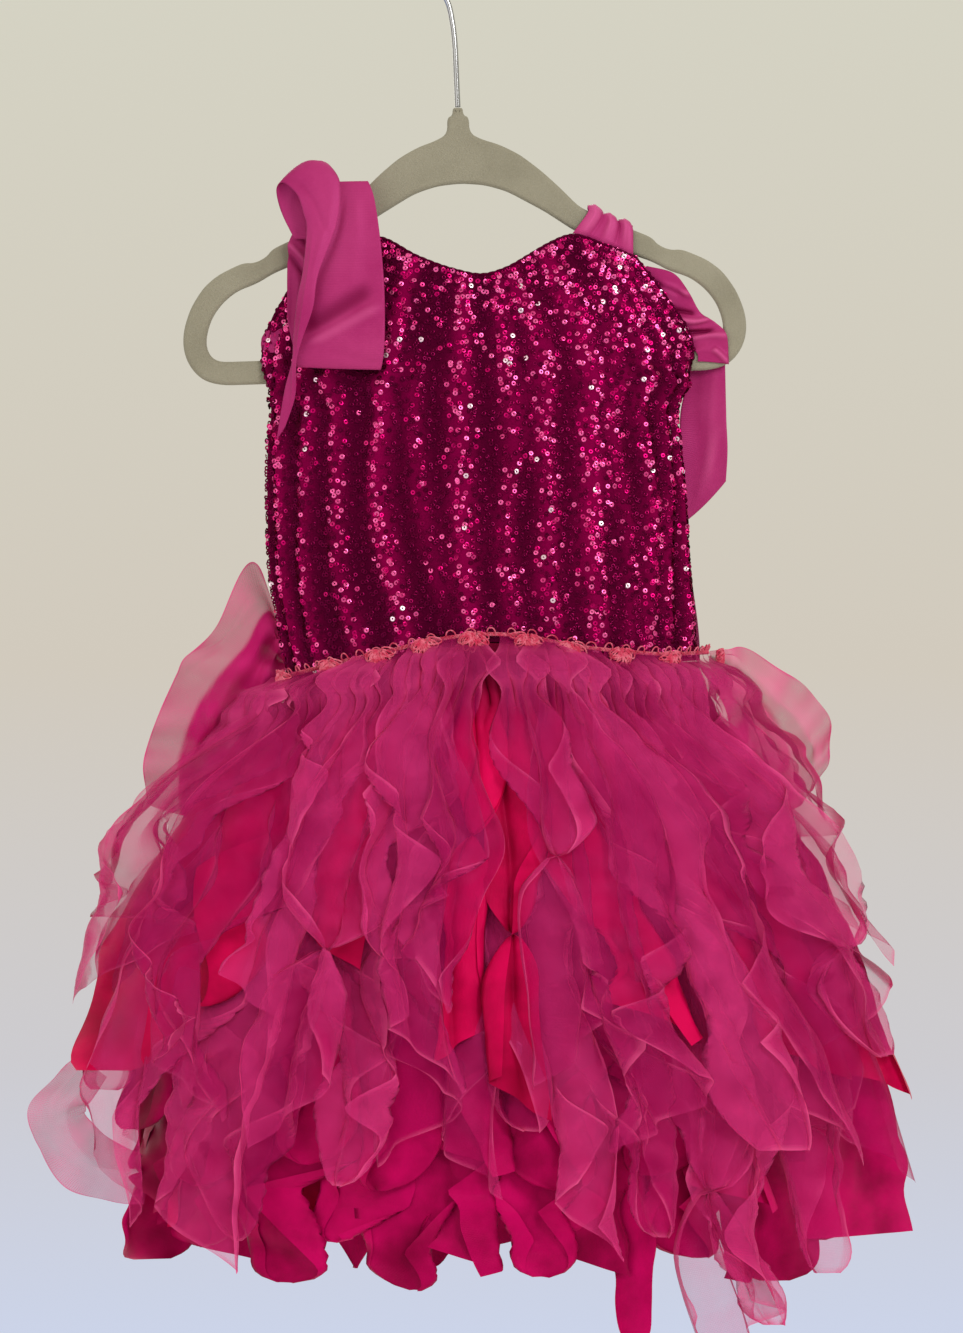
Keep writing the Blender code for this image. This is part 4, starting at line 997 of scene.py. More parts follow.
# Satin: glossy, with a fine weave, its colour drifting at random and by each strip's tone, which holds
# painted light on the folds that stand out and painted shade in the deep ones; near each strip's root,
# under the row above, it darkens to a painted shade.
def satinPaint(name, dark, bright):
    paint = Paint(name)
    across, along = paint.threads(0.0007)
    cloud = paint.noise(45, 3)
    # The tone adds painted light on the folds that stand out; the shade attribute a painted shade near the
    # root.
    colour = paint.blend(paint.ramp(cloud + paint.attribute("tone") * 0.5, 0.3, 1.15), dark, bright)
    colour = paint.blend(paint.attribute("shade"), colour, (0.07, 0.0, 0.008))
    paint.set(Base_Color=colour, Roughness=cloud * 0.14 + 0.27)
    paint.set(Specular_IOR_Level=0.5, Specular_Tint=(1.0, 0.06, 0.25, 1))
    paint.set(Sheen_Weight=0.06, Sheen_Roughness=0.35, Sheen_Tint=(1.0, 0.1, 0.35, 1))
    paint.bump(across.sine() * 0.3 + along.sine() * 0.2 + cloud * 2.0, 0.0002, 0.5)
    return paint.material


# Organza: sheer, denser where it stands on edge, along its cut edges and in its creases, and painted
# paler there as a sheen. Its tone holds painted light on the folds that stand out and painted shade in
# the valleys, and a painted shade lies under the row above.
def organzaPaint():
    paint = Paint("organza")
    across, along = paint.threads(0.0009)
    edge, tone, steep = paint.attribute("edge"), paint.attribute("tone"), paint.attribute("steep")
    cloud = paint.noise(60, 4)
    weave = (across.sine() + along.sine()) * 0.03
    lit = edge * paint.ramp(paint.noise(30, 2), 0.35, 0.65)
    # The tone holds painted light on the folds that stand out and painted shade in the valleys.
    depth = paint.ramp(tone + cloud * 0.5, 0.2, 1.2)
    colour = paint.blend(depth, (0.48, 0.002, 0.115), (0.86, 0.045, 0.27))
    # Painted shade under the row above.
    colour = paint.blend(paint.attribute("shade") * 0.55, colour, (0.20, 0.0, 0.035))
    # Painted sheen: paler along the cut edges and where the cloth stands on edge or creases.
    colour = paint.blend((lit * 0.6 + steep * 0.3).clamped(), colour, (0.92, 0.13, 0.34))
    cover = cloud * 0.24 + 0.20 + weave + lit * 0.32 + steep * 0.5 + tone * 0.12
    alpha = (cover + paint.attribute("dense")).clamped()
    paint.set(Base_Color=colour, Alpha=alpha, Roughness=0.45)
    paint.set(Specular_IOR_Level=0.25, Specular_Tint=(1.0, 0.2, 0.45, 1))
    paint.set(Sheen_Weight=0.06, Sheen_Roughness=0.3, Sheen_Tint=(1.0, 0.25, 0.5, 1))
    paint.bump(weave * 8 + cloud * 0.8, 0.0003, 0.5)
    paint.material.surface_render_method = "BLENDED"
    return paint.material


paints = {
    "organza": organzaPaint(),
    "satin": satinPaint("petalSatin", (0.22, 0.0, 0.035), (0.62, 0.001, 0.12)),
    "crimson": satinPaint("crimsonSatin", (0.34, 0.0, 0.032), (0.80, 0.001, 0.095)),
}

# The tiers of strips: their band (falls of its upper and lower edge), how wide a strip is where it
# is sewn in, how far it leans, and how far out it hangs at each fall, as in the solids.
tiers = {
    "organzaUpper": {
        "node": "organza_upper", "paint": "organza", "slot": "organza",
        "band": (0.8, 7.0), "root": 9.5, "lean": 3.9,
        "outs": (
            (0, 4.2), (7, 4.4), (14, 6.8), (22, 8.8), (50, 15.5),
            (100, 25), (150, 32), (200, 36.5), (250, 39), (340, 41.5),
        ),
    },
    "satinStrips": {
        "node": "satin_strips", "paint": "crimson", "slot": "crimson_satin",
        "band": (10.0, 15.0), "root": 14.0, "lean": 2.2,
        "outs": (
            (0, 2.0), (15, 2.0), (22, 4.6), (50, 9.3),
            (100, 17), (150, 23.5), (200, 28), (250, 31),
        ),
    },
    "organzaLower": {
        "node": "organza_lower", "paint": "organza", "slot": "organza",
        "band": (45.0, 51.0), "root": 11.0, "lean": 2.2,
        "outs": (
            (0, 2.0), (51, 2.0), (58, 4.6), (100, 9.7), (150, 15.5),
            (200, 20.5), (250, 25), (300, 29), (360, 32),
        ),
    },
    "satinPetals": {
        "node": "satin_petals", "paint": "satin", "slot": "satin",
        "band": (118.0, 124.0), "root": 15.0, "lean": 1.8,
        "outs": (
            (0, 2.0), (124, 2.0), (131, 4.4), (150, 7.0),
            (200, 12.3), (250, 16.5), (310, 20),
        ),
    },
    "hemPetals": {
        "node": "hem_petals", "paint": "satin", "slot": "satin",
        "band": (196.0, 202.0), "root": 15.0, "lean": 1.9,
        "outs": ((0, 2.0), (202, 2.0), (209, 4.2), (250, 8), (300, 11), (370, 13)),
    },
}
# Each strip: root, tip (shares of the half width), end (fall), width, cut, lift; then its folds:
# the side that is folded over (-1 left, 1 right, 0 none), where (share down) and how deep,
# and where it turns over on itself (0 nowhere).
stripTables = {
    "organzaUpper": [
        (-0.97, -0.97, 128, 58, "round", 10, 1, 0.30, 0.5, 0),
        (-0.86, -0.87, 156, 60, "slant", 12, -1, 0.45, 0.7, 0),
        (-0.68, -0.73, 218, 58, "slant", 6, -1, 0.62, 0.9, 0),
        (-0.56, -0.50, 185, 44, "slant", 0, 1, 0.25, 0.8, 0),
        (-0.44, -0.38, 240, 48, "slant", 0, -1, 0.40, 0.5, 0.62),
        (-0.32, -0.25, 165, 42, "round", 0, 1, 0.35, 0.9, 0),
        (-0.20, -0.18, 215, 46, "slant", 0, -1, 0.25, 0.6, 0),
        (-0.09, -0.12, 175, 34, "slant", 0, -1, 0.5, 0.7, 0),
        (0.10, 0.19, 212, 42, "slant", 0, -1, 0.20, 0.6, 0.5),
        (0.22, 0.42, 240, 50, "slant", 0, 1, 0.55, 0.8, 0),
        (0.33, 0.62, 258, 52, "round", 0, -1, 0.30, 0.9, 0),
        (0.44, 0.75, 246, 52, "slant", 0, 1, 0.42, 0.8, 0),
        (0.55, 0.86, 258, 52, "slant", 0, -1, 0.5, 0.9, 0),
        (0.66, 0.91, 190, 50, "slant", 0, 1, 0.3, 0.7, 0),
        (0.77, 0.94, 212, 48, "round", 0, -1, 0.35, 0.7, 0.7),
        (0.87, 0.96, 146, 48, "slant", 0, 1, 0.5, 0.8, 0),
        (0.97, 0.98, 98, 44, "round", 3, -1, 0.3, 0.5, 0),
    ],
    "satinStrips": [
        (-0.96, -0.955, 204, 50, "round", 2, 0, 0.5, 0, 0),
        (-0.79, -0.72, 175, 48, "round", 0, 1, 0.3, 0.8, 0),
        (-0.50, -0.45, 150, 42, "slant", 0, -1, 0.3, 0.7, 0),
        (-0.06, -0.07, 205, 28, "slant", 0, -1, 0.2, 0.5, 0.45),
        (0.07, 0.05, 235, 36, "slant", 0, 1, 0.25, 0.6, 0.62),
        (0.30, 0.42, 190, 42, "slant", 0, 1, 0.4, 0.7, 0),
        (0.58, 0.76, 208, 48, "slant", 0, -1, 0.4, 0.7, 0),
        (0.86, 0.905, 220, 44, "slant", 0, 1, 0.3, 0.4, 0),
    ],
    "organzaLower": [
        (-0.96, -0.98, 214, 50, "round", 9, 1, 0.3, 0.6, 0),
        (-0.84, -0.89, 268, 52, "slant", 6, 1, 0.55, 0.8, 0),
        (-0.70, -0.76, 290, 48, "slant", 0, -1, 0.4, 0.8, 0),
        (-0.56, -0.58, 298, 50, "round", 0, 1, 0.6, 0.6, 0),
        (-0.42, -0.38, 274, 50, "round", 0, -1, 0.45, 0.8, 0),
        (-0.28, -0.22, 250, 46, "slant", 0, 1, 0.35, 0.8, 0),
        (-0.14, -0.05, 266, 48, "slant", 0, -1, 0.5, 0.9, 0),
        (0.00, 0.10, 252, 48, "round", 0, 1, 0.4, 0.7, 0),
        (0.14, 0.23, 296, 48, "slant", 0, -1, 0.6, 0.9, 0),
        (0.28, 0.40, 300, 50, "round", 0, 1, 0.5, 0.8, 0),
        (0.42, 0.53, 350, 50, "slant", 0, -1, 0.4, 0.8, 0.75),
        (0.56, 0.65, 344, 50, "round", 0, 1, 0.6, 0.8, 0),
        (0.70, 0.76, 318, 50, "round", 0, -1, 0.5, 0.8, 0),
        (0.84, 0.86, 246, 48, "round", 0, 1, 0.4, 0.7, 0),
        (0.96, 0.93, 160, 40, "round", 0, -1, 0.4, 0.6, 0),
    ],
    "satinPetals": [
        (-0.93, -0.95, 236, 44, "round", 2, 1, 0.5, 0.4, 0),
        (-0.72, -0.75, 268, 50, "round", 0, 1, 0.5, 0.6, 0),
        (-0.50, -0.48, 262, 48, "round", 0, -1, 0.5, 0.5, 0),
        (-0.28, -0.30, 280, 52, "round", 0, -1, 0.6, 0.6, 0),
        (-0.05, -0.02, 268, 48, "slant", 0, 1, 0.5, 0.7, 0),
        (0.18, 0.19, 282, 50, "round", 0, 1, 0.5, 0.7, 0),
        (0.40, 0.42, 270, 48, "round", 0, -1, 0.5, 0.7, 0),
        (0.61, 0.64, 280, 48, "slant", 0, 1, 0.4, 0.6, 0),
        (0.80, 0.83, 262, 42, "point", 0, 1, 0.4, 0.8, 0),
        (0.95, 0.95, 304, 36, "flare", 2, 0, 0.5, 0, 0),
    ],
    "hemPetals": [
        (-0.94, -0.94, 272, 42, "slant", 0, 1, 0.5, 0.6, 0),
        (-0.77, -0.78, 300, 46, "round", 0, 1, 0.5, 0.5, 0),
        (-0.60, -0.57, 322, 58, "round", 0, -1, 0.5, 0.4, 0),
        (-0.42, -0.43, 304, 46, "round", 0, -1, 0.4, 0.6, 0),
        (-0.25, -0.22, 334, 56, "round", 0, 1, 0.6, 0.6, 0),
        (-0.07, -0.05, 320, 46, "slant", 0, 1, 0.45, 0.7, 0),
        (0.11, 0.13, 328, 54, "round", 0, -1, 0.6, 0.5, 0),
        (0.25, 0.26, 318, 50, "slant", 0, -1, 0.5, 0.7, 0),
        (0.39, 0.38, 360, 17, "round", 0, 0, 0.5, 0, 0),
        (0.57, 0.57, 312, 50, "round", 0, 1, 0.5, 0.7, 0),
        (0.74, 0.77, 324, 48, "round", 0, -1, 0.5, 0.6, 0),
        (0.92, 0.94, 298, 42, "round", 0, -1, 0.5, 0.7, 0),
    ],
}
# The back's strips follow a rule: how many, reach, end, spread, width, cuts.
backRules = {
    "organzaUpper": (13, 0.84, 205, 45, 50, ("slant", "round", "slant")),
    "satinStrips": (6, 0.80, 180, 22, 44, ("slant", "round")),
    "organzaLower": (12, 0.92, 280, 28, 50, ("round", "slant", "slant")),
    "satinPetals": (9, 0.90, 268, 12, 46, ("round", "slant", "point")),
    "hemPetals": (11, 0.93, 318, 13, 46, ("round", "slant", "round", "point")),
}


# The back's strips: roots spread evenly, ends and widths varied at random, cuts and folds by turns.
def backStrips(random):
    made = {}
    for name, (count, reach, end, spread, width, cuts) in backRules.items():
        rows = []
        for i in range(count):
            root = reach * (2 * i / (count - 1) - 1)
            ends = end + spread * random.uniform(-1, 1)
            wide = width + random.uniform(-3, 3)
            folds = ((-1, 1)[i % 2], 0.3 + 0.07 * (i * 3 % 5), 0.5 + 0.1 * (i % 4), 0.55 * (i % 5 == 2))
            rows.append((root, root * 1.02, ends, wide, cuts[i % len(cuts)], 0, *folds))
        made[name] = rows
    return made


# A strip's width down its length: it opens out from the root, then closes as an oval (round), to a
# tip (point), spreads (flare) or narrows a little (slant).
def stripWidth(cut, width, rootWidth, t):
    full = rootWidth + (width - rootWidth) * ease((t - 0.01) / 0.34)
    if cut == "round":
        return full * np.sqrt(1 - 0.97 * np.clip((t - 0.8) / 0.2, 0, 1) ** 2)
    if cut == "point":
        return full * (1 - 0.94 * np.clip((t - 0.55) / 0.45, 0, 1) ** 1.4)
    if cut == "flare":
        return full * (0.45 + 0.65 * ease((t - 0.35) / 0.65))
    return full * (1 - 0.1 * t)


# How each cloth hangs: its grid, how much wider it is than its solid, its sway, the depth of its
# pleats (across and out), ruffles and folded edges, the puff below the waist, the most that it
# stands out, how uneven its edges are, how far a slanting cut slants, and its wrinkles. The
# waves are the fewest lengthwise ones and how many more there may be.
drape = {
    "organza": {
        "rows": 80, "columns": 36, "wider": 1.42, "sway": 11.0, "pleat": 0.34, "deep": 2.6,
        "ruffle": 2.6, "flap": 1.0, "puff": 7.0, "most": 15.0, "uneven": 0.36, "slant": 20.0,
        "wrinkle": 1.1, "waves": (1.3, 1.5),
    },
    "crimson": {
        "rows": 56, "columns": 25, "wider": 1.4, "sway": 6.0, "pleat": 0.28, "deep": 2.6,
        "ruffle": 1.6, "flap": 0.9, "puff": 1.5, "most": 8.0, "uneven": 0.22, "slant": 12.0,
        "wrinkle": 0.4, "waves": (1.0, 1.0),
    },
    "satin": {
        "rows": 52, "columns": 25, "wider": 1.42, "sway": 3.0, "pleat": 0.14, "deep": 2.4,
        "ruffle": 2.2, "flap": 1.0, "puff": 0.5, "most": 8.5, "uneven": 0.14, "slant": 8.0,
        "wrinkle": 0.3, "waves": (0.8, 0.7),
    },
}


# A broken line through random values down the strip, its corners rounded by a running mean of nine.
def brokenLine(random, run, low, high, start, knots=5):
    at = np.linspace(0, 1, knots) + random.uniform(-0.09, 0.09, knots)
    at[0], at[-1] = 0.0, 1.0
    values = random.uniform(low, high, knots)
    values[0] = start
    line = np.interp(run[:, 0], at, values)
    return np.convolve(np.pad(line, 4, mode="edge"), np.full(9, 1 / 9), "valid")[:, None]


# A wave with straight flanks, as crisp cloth folds: half a sine and half a rounded zigzag.
def crisp(phase):
    return 0.5 * np.sin(phase) + 0.5 * np.arcsin(0.98 * np.sin(phase)) / 1.37


# The cloth beyond a slanting line is folded back over itself: where it lies, and how far over.
def foldOver(u, side, line):
    over = np.maximum(u * side - line, 0) if side else 0 * u * line
    return u - 2 * side * over, 1.2 * ease(over / 0.1) + 0.9 * over


# One strip, and the looks that its paint reads. The flat cloth is first folded over along slanting
# lines at its edges, then pleated lengthwise in loose waves that lean over, and where it turns
# over it narrows and swaps sides. Its edges wander, it sways and curls at the end, always
# outwards from its own tier.
def drapedStrip(tier, strip, front, random):
    root, tip, end, width, cut, lift, flapSide, flapAt, flapDeep, turnAt = strip
    look = drape[tier["paint"]]
    top, bottom = tier["band"]
    upper = bottom < 8
    # Down the strip (t, and run below its band) and across it (u).
    t = np.linspace(0, 1, look["rows"])[:, None]
    u = np.linspace(-1, 1, look["columns"])[None, :]
    fall = top - 4.6 * upper + (end - top) * t
    run = np.clip((fall - bottom) / (end - bottom), 0, 1)
    long = end - bottom
    first, last = np.arcsin(np.clip([root, tip], -1, 1))
    angle = first + (last - first) * run
    if not front:
        angle = np.pi + angle
    # The smooth way that it follows, and how many millimetres a step of angle is there.
    falls, outs = np.array(tier["outs"]).T
    draw = random.uniform(0, 1, 12)
    slant = look["slant"] * u * ease((t - 0.72) / 0.28) * (cut == "slant") * (-1 if draw[7] < 0.4 else 1)
    base = np.interp(fall + slant, falls, outs) + lift * (ease(run / 0.4) - 0.8 * ease((run - 0.5) / 0.5))
    drop = waistDrop(angle) + fall
    step = 0.01
    stride = onDress(angle + step, drop, base) - onDress(angle - step, drop, base)
    perRadian = np.linalg.norm(stride, axis=-1).mean(1, keepdims=True) / (2 * step)
    free = ease(run / 0.22)
    loose = free * (1 - 0.5 * ease((run - 0.75) / 0.25))

    # Folded over at one edge, and less at the other.
    at = (0, flapAt, min(flapAt + 0.25, 0.93), 1)
    line = 1 - flapDeep * look["flap"] * np.interp(run, at, (0, 0.1, 1, 0.55))
    cloth, layer = foldOver(u + 0 * t, flapSide, line)
    again = draw[0] * 0.75 + 0.1
    at = (0, again, min(again + 0.14, 0.97), 1)
    line = 1 - 0.7 * draw[1] * look["flap"] * np.interp(run, at, (0, 0, 1, 0.1))
    cloth, second = foldOver(cloth, -flapSide, line)
    layer = layer + second

    # Its uneven edges, loose pleats and the tucks near its root.
    low, high = 1 - look["uneven"], 1 + 0.5 * look["uneven"]
    leftEdge, rightEdge = -brokenLine(random, run, low, high, 1), brokenLine(random, run, low, high, 1)
    waves = np.pi * (look["waves"][0] + look["waves"][1] * draw[2])
    phase = waves * cloth + tau * draw[3] + brokenLine(random, run, -2.2, 2.2, 0)
    pleat = look["pleat"] * loose * np.abs(brokenLine(random, run, 0.1, 1.15, 0.6))
    gather = 1 - ease(run / 0.3)
    wander = 0.7 * np.sin(fall / 4 + tau * draw[4]) * (1 + cloth)
    tuck = np.pi * 3.1 * cloth + tau * draw[5] + 2.2 * run + wander
    pucker = bell(fall, 9 + 9 * draw[10], 4.0) * upper * (1 + np.cos(np.pi * 2.4 * cloth + tau * draw[11]))
    across = cloth + pleat * crisp(phase) + 0.18 * gather * np.sin(tuck)
    across = (leftEdge + rightEdge) / 2 + across * (rightEdge - leftEdge) / 2
    folds = loose * (1 + crisp(phase + np.pi / 2)) + 1.3 * gather * (1 + np.cos(tuck))
    out = look["deep"] * folds * ease((fall - top + 2) / 6) + layer + 1.6 * pucker
    # Three patches of small slanting wrinkles.
    for wrinkle in range(3):
        way, wave, start, spot = random.uniform((-1.1, 10.0, 0.0, 0.1), (1.1, 19.0, tau, 0.9))
        place = (cloth * width * look["wider"] / 2 * np.cos(way) + run * long * np.sin(way)) / wave
        patch = bell(run, spot, 0.22) * (0.4 + 0.6 * np.abs(np.sin(1.5 * cloth + start)))
        out = out + look["wrinkle"] * loose * patch * (1 + crisp(tau * place + start))

    # Where it turns over, its width passes through nearly nothing and its sides swap.
    turning = np.pi * ease((run - turnAt + 0.16) / 0.32) if turnAt else 0 * run
    narrow = np.abs(np.cos(turning)) * 0.86 + 0.14
    side = np.sign(np.cos(turning) + 1e-6)
    out = out + 3.0 * np.sin(turning) * (1 + np.sin(2.2 * cloth * side))
    wide = width * look["wider"] * (0.85 + 0.3 * draw[6])
    half = stripWidth(cut, wide, tier["root"] * 1.3, run) / 2
    swell = bell(fall, 7.0 + 7.0 * draw[8], 8.0) * upper * (0.5 + draw[9])
    half = half + 6.0 * swell

    # Ripples along both edges, sway, and a curl at the end.
    ripple = look["ruffle"] * free * (0.4 + 0.6 * run) * np.abs(u) ** 2.5
    beat = np.where(u < 0, brokenLine(random, run, -3, 3, 0, 7), brokenLine(random, run, -3, 3, 0, 7))
    out = out + ripple * (1 + np.sin(beat * 1.6)) + look["puff"] * swell
    sway = brokenLine(random, run, -look["sway"], look["sway"], 0)
    aside = across * half * narrow * side + sway + 0.8 * ripple * np.sign(u) * np.cos(beat * 1.6)
    curl = random.uniform(-2, 6) * ease((run - 0.78) / 0.22) ** 2

    # Each strip leans over its neighbour, and those at the sides turn to face sideways.
    lean = tier["lean"] * (1 - np.exp(-np.maximum(fall - bottom, 0) / 35.0))
    beside = np.clip((abs(root) - 0.6) / 0.35, 0, 1)
    if front and (upper or beside > 0.6):
        if tier["paint"] == "crimson":
            facing = 2.4 * run
        elif tier["paint"] == "satin":
            facing = 5.5 * (cut == "flare") * ease(run / 0.6)
        else:
            facing = (1.8 if root < 0 else 0.7) * (1 - 0.7 * ease((run - 0.45) / 0.55))
        lean = lean * np.sign(root) * (1 + facing * beside)
    out = look["most"] * np.tanh((out + np.maximum(curl, -1)) / look["most"])
    grid = onDress(angle + aside / perRadian, drop + slant, base + out + lean * u * narrow)

    # What the paint reads: cloth that stands on edge and its cut border, painted paler as a sheen; how far
    # it stands out, as painted light on the folds that stand out and painted shade in the valleys; and the
    # painted shade under the row above.
    level = onDress(angle, drop, base.mean(1, keepdims=True))
    pair = np.stack([level[:, 0] - 0.01 * stride[:, 0], level[:, 0] + 0.01 * stride[:, 0]], 1)
    outward = gridNormals(pair)[:, :1]
    steep = np.clip((1 - np.abs((gridNormals(grid) * outward).sum(-1))) * 1.4 - 0.05, 0, 1)
    edge = np.clip(1 - (1 - np.abs(u)) * half / 1.1, 0, 1) + 0 * t
    edge = np.maximum(edge, np.clip(1 - (1 - t) * (end - top) / 1.4, 0, 1) + 0 * u)
    relief = np.clip(out / look["most"], 0, 1)
    # The tone: random for each strip, plus painted light where it stands out and painted shade where it
    # sinks.
    tone = random.uniform(0, 0.7) + 0.9 * (relief - 0.3)
    under = 30 + 18 * (tier["paint"] == "crimson")
    shade = (1 - ease((fall - bottom + 3) / under)) * (0.9 - 0.6 * upper) + 0 * u
    return grid, edge, tone, steep, shade


# Every tier's strips, front and back, each side as one piece.
def addTiers():
    random = np.random.default_rng(5)
    behind = backStrips(np.random.default_rng(11))
    for name, tier in tiers.items():
        for side, strips in (("front", stripTables[name]), ("back", behind[name])):
            made = [drapedStrip(tier, strip, side == "front", random) for strip in strips]
            grids, edges, tones, steeps, shades = (np.array([m[i] for m in made]) for i in range(5))
            looks = {"edge": edges, "tone": tones, "steep": steeps, "shade": shades}
            piece = gridMesh(name + side.capitalize(), grids, looks)
            finishPiece(piece, paints[tier["paint"]], tier["slot"], tier["node"] + "_" + side)
            declareSheet(grids, "underskirt_" + side)


underskirt = {
    "reach": 89.5, "columns": 141, "rows": 70, "top": 0.6, "hem": 288,
    "lift": 0.5, "waves": 4.0, "wavesFrom": 605, "gathers": 0.9,
}


# Both panels: the form of the dress, with waves of cosine round it that grow towards the hem and
# finer ones of sine below the seam.
def addUnderskirt():
    for side, turned in (("front", 0), ("back", np.pi)):
        reach = np.linspace(-underskirt["reach"], underskirt["reach"], underskirt["columns"])
        angle = np.radians(reach)[None, :] + turned
        fall = np.linspace(underskirt["top"], underskirt["hem"], underskirt["rows"])[:, None]
        drop = waistDrop(angle) + fall
        wave = 0.5 - 0.5 * np.cos(12 * angle)
        soft = 0.5 + 0.5 * np.sin(31 * angle + 2 * np.sin(fall / 40))
        out = underskirt["lift"] + underskirt["waves"] * ease((drop - underskirt["wavesFrom"]) / 80) * wave
        grid = onDress(angle, drop, out + underskirt["gathers"] * ease(fall / 50) * soft)
        # Painted light on the crests of the cosine waves, and painted shade just below the seam under the
        # tiers.
        looks = {"tone": wave, "shade": 0.85 * (1 - ease(fall / 60))}
        piece = gridMesh("underskirt" + side.capitalize(), grid, looks)
        finishPiece(piece, paints["crimson"], "crimson_satin", "underskirt_" + side)
        declareSheet(grid, "waist_trim_" + side)


# The free loops of organza: the height and length of their waves, their tone, which sets each loop's
# painted shade (darkest on the waist loop at the left, lightest on the ruffle at the right), and how dense
# the cloth is on either side of a line across it (thin, thick, where).
looseLoops = {
    "organzaLoopWaist": {
        "node": "organza_loop_waist", "rests": "waist_trim_back",
        "height": 2.2, "beat": 30, "phase": 0.15, "tone": 0.15, "dense": (0.34, 0.66, -0.12),
        "creases": (
            (0.05, 0.5, 0.95, -0.1, 3.0, 3.5), (0.1, 0.7, 0.9, 0.25, -3.0, 4.0),
            (0.08, 0.8, 0.95, 0.55, 3.0, 3.5), (0.12, 0.9, 0.8, 0.8, -2.5, 3.5),
            (0.2, -0.2, 0.5, -0.9, 2.0, 2.5), (0.55, -0.1, 0.8, 0.9, 2.4, 3.0),
        ),
    },
    "organzaRuffleRight": {
        "node": "organza_ruffle_right", "rests": "waist_trim_back",
        "height": 2.4, "beat": 24, "phase": 0.55, "tone": 0.6, "dense": (0.45, 0.2, 0.1),
        "creases": (
            (0.05, 0.3, 0.95, 0.6, 2.6, 3.0), (0.1, 0.0, 0.95, 0.1, -2.6, 3.0),
            (0.1, -0.4, 0.95, -0.5, 2.6, 3.0),
        ),
    },
    "organzaLoopHem": {
        "node": "organza_loop_hem", "rests": "satin_strips_front",
        "height": 1.6, "beat": 30, "phase": 0.35, "tone": 0.3, "dense": (0.13, 0.22, 0.2),
        "creases": (
            (0.1, -0.3, 0.5, -0.1, 2.2, 2.0), (0.45, -0.4, 0.9, 0.3, 2.0, 2.0),
            (0.3, 0.9, 0.5, -0.9, -1.8, 2.5),
        ),
    },
}
looseGrid = {"rows": 110, "across": 35}


# Each loop: its creased surface, pushed out by a sine that runs along it, higher at both edges, and
# by a slower one across.
def addLooseLoops():
    for name, look in looseLoops.items():
        rows, across = looseGrid["rows"], looseGrid["across"]
        grid = crease(ribbonGrid(name, rows, across), look["creases"])
        normals = gridNormals(grid)
        run = np.linspace(0, 1, rows)[:, None]
        u = np.linspace(-1, 1, across)[None, :]
        long = np.linalg.norm(np.diff(grid[:, across // 2], axis=0), axis=-1).sum()
        phase = tau * (run * long / look["beat"] + look["phase"]) + 1.8 * u
        wave = np.sin(phase) * (0.35 + 0.65 * np.abs(u) ** 1.5)
        fold = np.sin(2.6 * u + 5 * run) * 0.8
        grid = grid + (look["height"] * ease(run / 0.15) * (wave + fold))[..., None] * normals
        steep = np.clip((1 - np.abs((gridNormals(grid) * normals).sum(-1))) * 1.6, 0, 1)
        edge = np.clip((np.abs(u) - 0.95) / 0.05, 0, 1) + 0 * run
        thin, thick, border = look["dense"]
        dense = thin + (thick - thin) * ease((u - border - 0.15 * np.sin(7 * run)) / 0.12)
        # The tone adds painted light where the waves stand out and painted shade where they sink.
        looks = {"edge": edge, "steep": steep, "tone": look["tone"] + 0.25 * wave, "dense": dense}
        piece = gridMesh(name, grid, looks)
        finishPiece(piece, paints["organza"], "organza", look["node"])
        declareSheet(grid, look["rests"])


addTiers()
addUnderskirt()
addLooseLoops()
print("skirt done")


# The studio in metres: half the floor's side and its height, and how far up and down from level
# the backdrop's colours reach.
studio = {"floorHalf": 3.0, "floorHeight": -1.25, "skyReach": 0.17, "faced": (0.01, 0, -0.42)}
# The backdrop, from a cool white below to a warm cream above.
sky = (
    (0.0, (0.60, 0.665, 0.84)),
    (0.22, (0.61, 0.60, 0.63)),
    (0.5, (0.64, 0.59, 0.51)),
    (1.0, (0.665, 0.65, 0.55)),
)
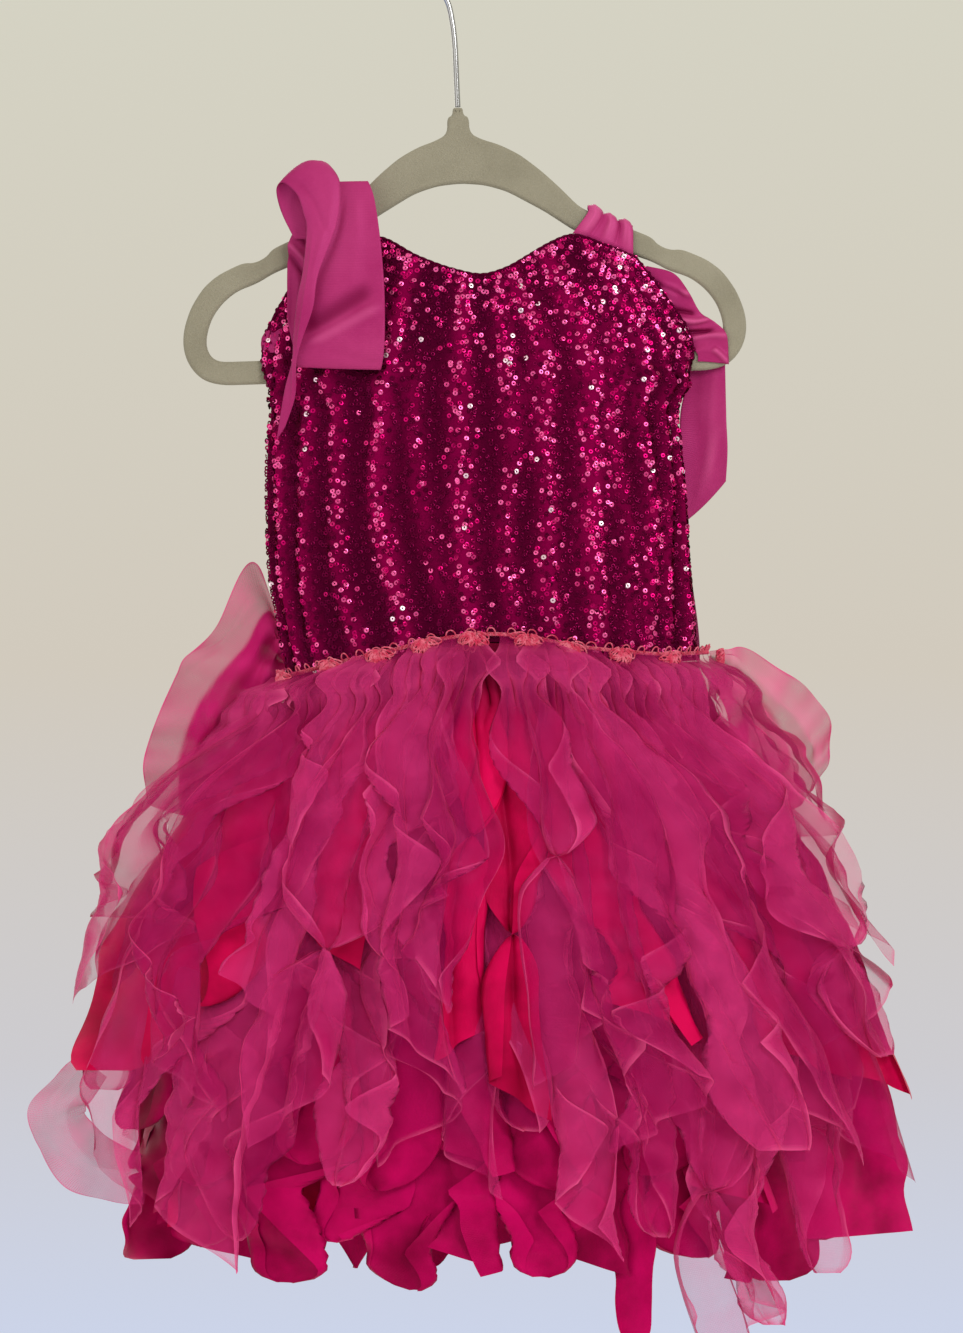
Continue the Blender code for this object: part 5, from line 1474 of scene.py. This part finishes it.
# Each light's place, size and power.
lights = {
    "key": {"at": (1.0, -1.6, 0.6), "size": 0.6, "power": 15},
    "fill": {"at": (-1.3, -1.5, -0.2), "size": 1.2, "power": 5},
    "rim": {"at": (-0.3, 1.6, 0.5), "size": 1.0, "power": 6},
}


# A plain square floor, pale and matt.
def addFloor():
    half = studio["floorHalf"]
    corners = np.array([(-half, -half), (half, -half), (half, half), (-half, half)])
    points = np.column_stack([corners, np.full(4, studio["floorHeight"])]) / mm
    floor = place("floor", meshFrom("floor", points, np.array([[0, 1, 2, 3]])))
    paint = Paint("floor")
    paint.set(Base_Color=(0.80, 0.79, 0.77, 1), Roughness=0.9)
    floor.data.materials.append(paint.material)


# The only backdrop: the height of each direction picks its colour.
def addSky():
    world = bpy.data.worlds.new("world")
    bpy.context.scene.world = world
    world.use_nodes = True
    nodes, links = world.node_tree.nodes, world.node_tree.links
    where, parts = nodes.new("ShaderNodeTexCoord"), nodes.new("ShaderNodeSeparateXYZ")
    height, ramp = nodes.new("ShaderNodeMapRange"), nodes.new("ShaderNodeValToRGB")
    links.new(where.outputs["Generated"], parts.inputs[0])
    links.new(parts.outputs[2], height.inputs[0])
    height.inputs[1].default_value = -studio["skyReach"]
    height.inputs[2].default_value = studio["skyReach"]
    links.new(height.outputs[0], ramp.inputs[0])
    for at, colour in sky[1:-1]:
        ramp.color_ramp.elements.new(at)
    for element, (at, colour) in zip(ramp.color_ramp.elements, sky):
        element.position = at
        element.color = (*colour, 1)
    links.new(ramp.outputs[0], nodes["Background"].inputs["Color"])
    nodes["Background"].inputs["Strength"].default_value = 1.0


# Square lights that face the middle of the dress: tipped by the angle from straight down, turned by
# the angle round.
def addLights():
    for name, look in lights.items():
        light = bpy.data.lights.new(name, "AREA")
        light.size = look["size"]
        light.energy = look["power"]
        lamp = bpy.data.objects.new(name, light)
        bpy.context.scene.collection.objects.link(lamp)
        lamp.location = look["at"]
        way = np.array(studio["faced"]) - np.array(look["at"])
        tipped = np.arccos(-way[2] / np.linalg.norm(way))
        lamp.rotation_euler = (tipped, 0, np.arctan2(way[1], way[0]) - np.pi / 2)


addFloor()
addSky()
addLights()
print("floor and lights done")
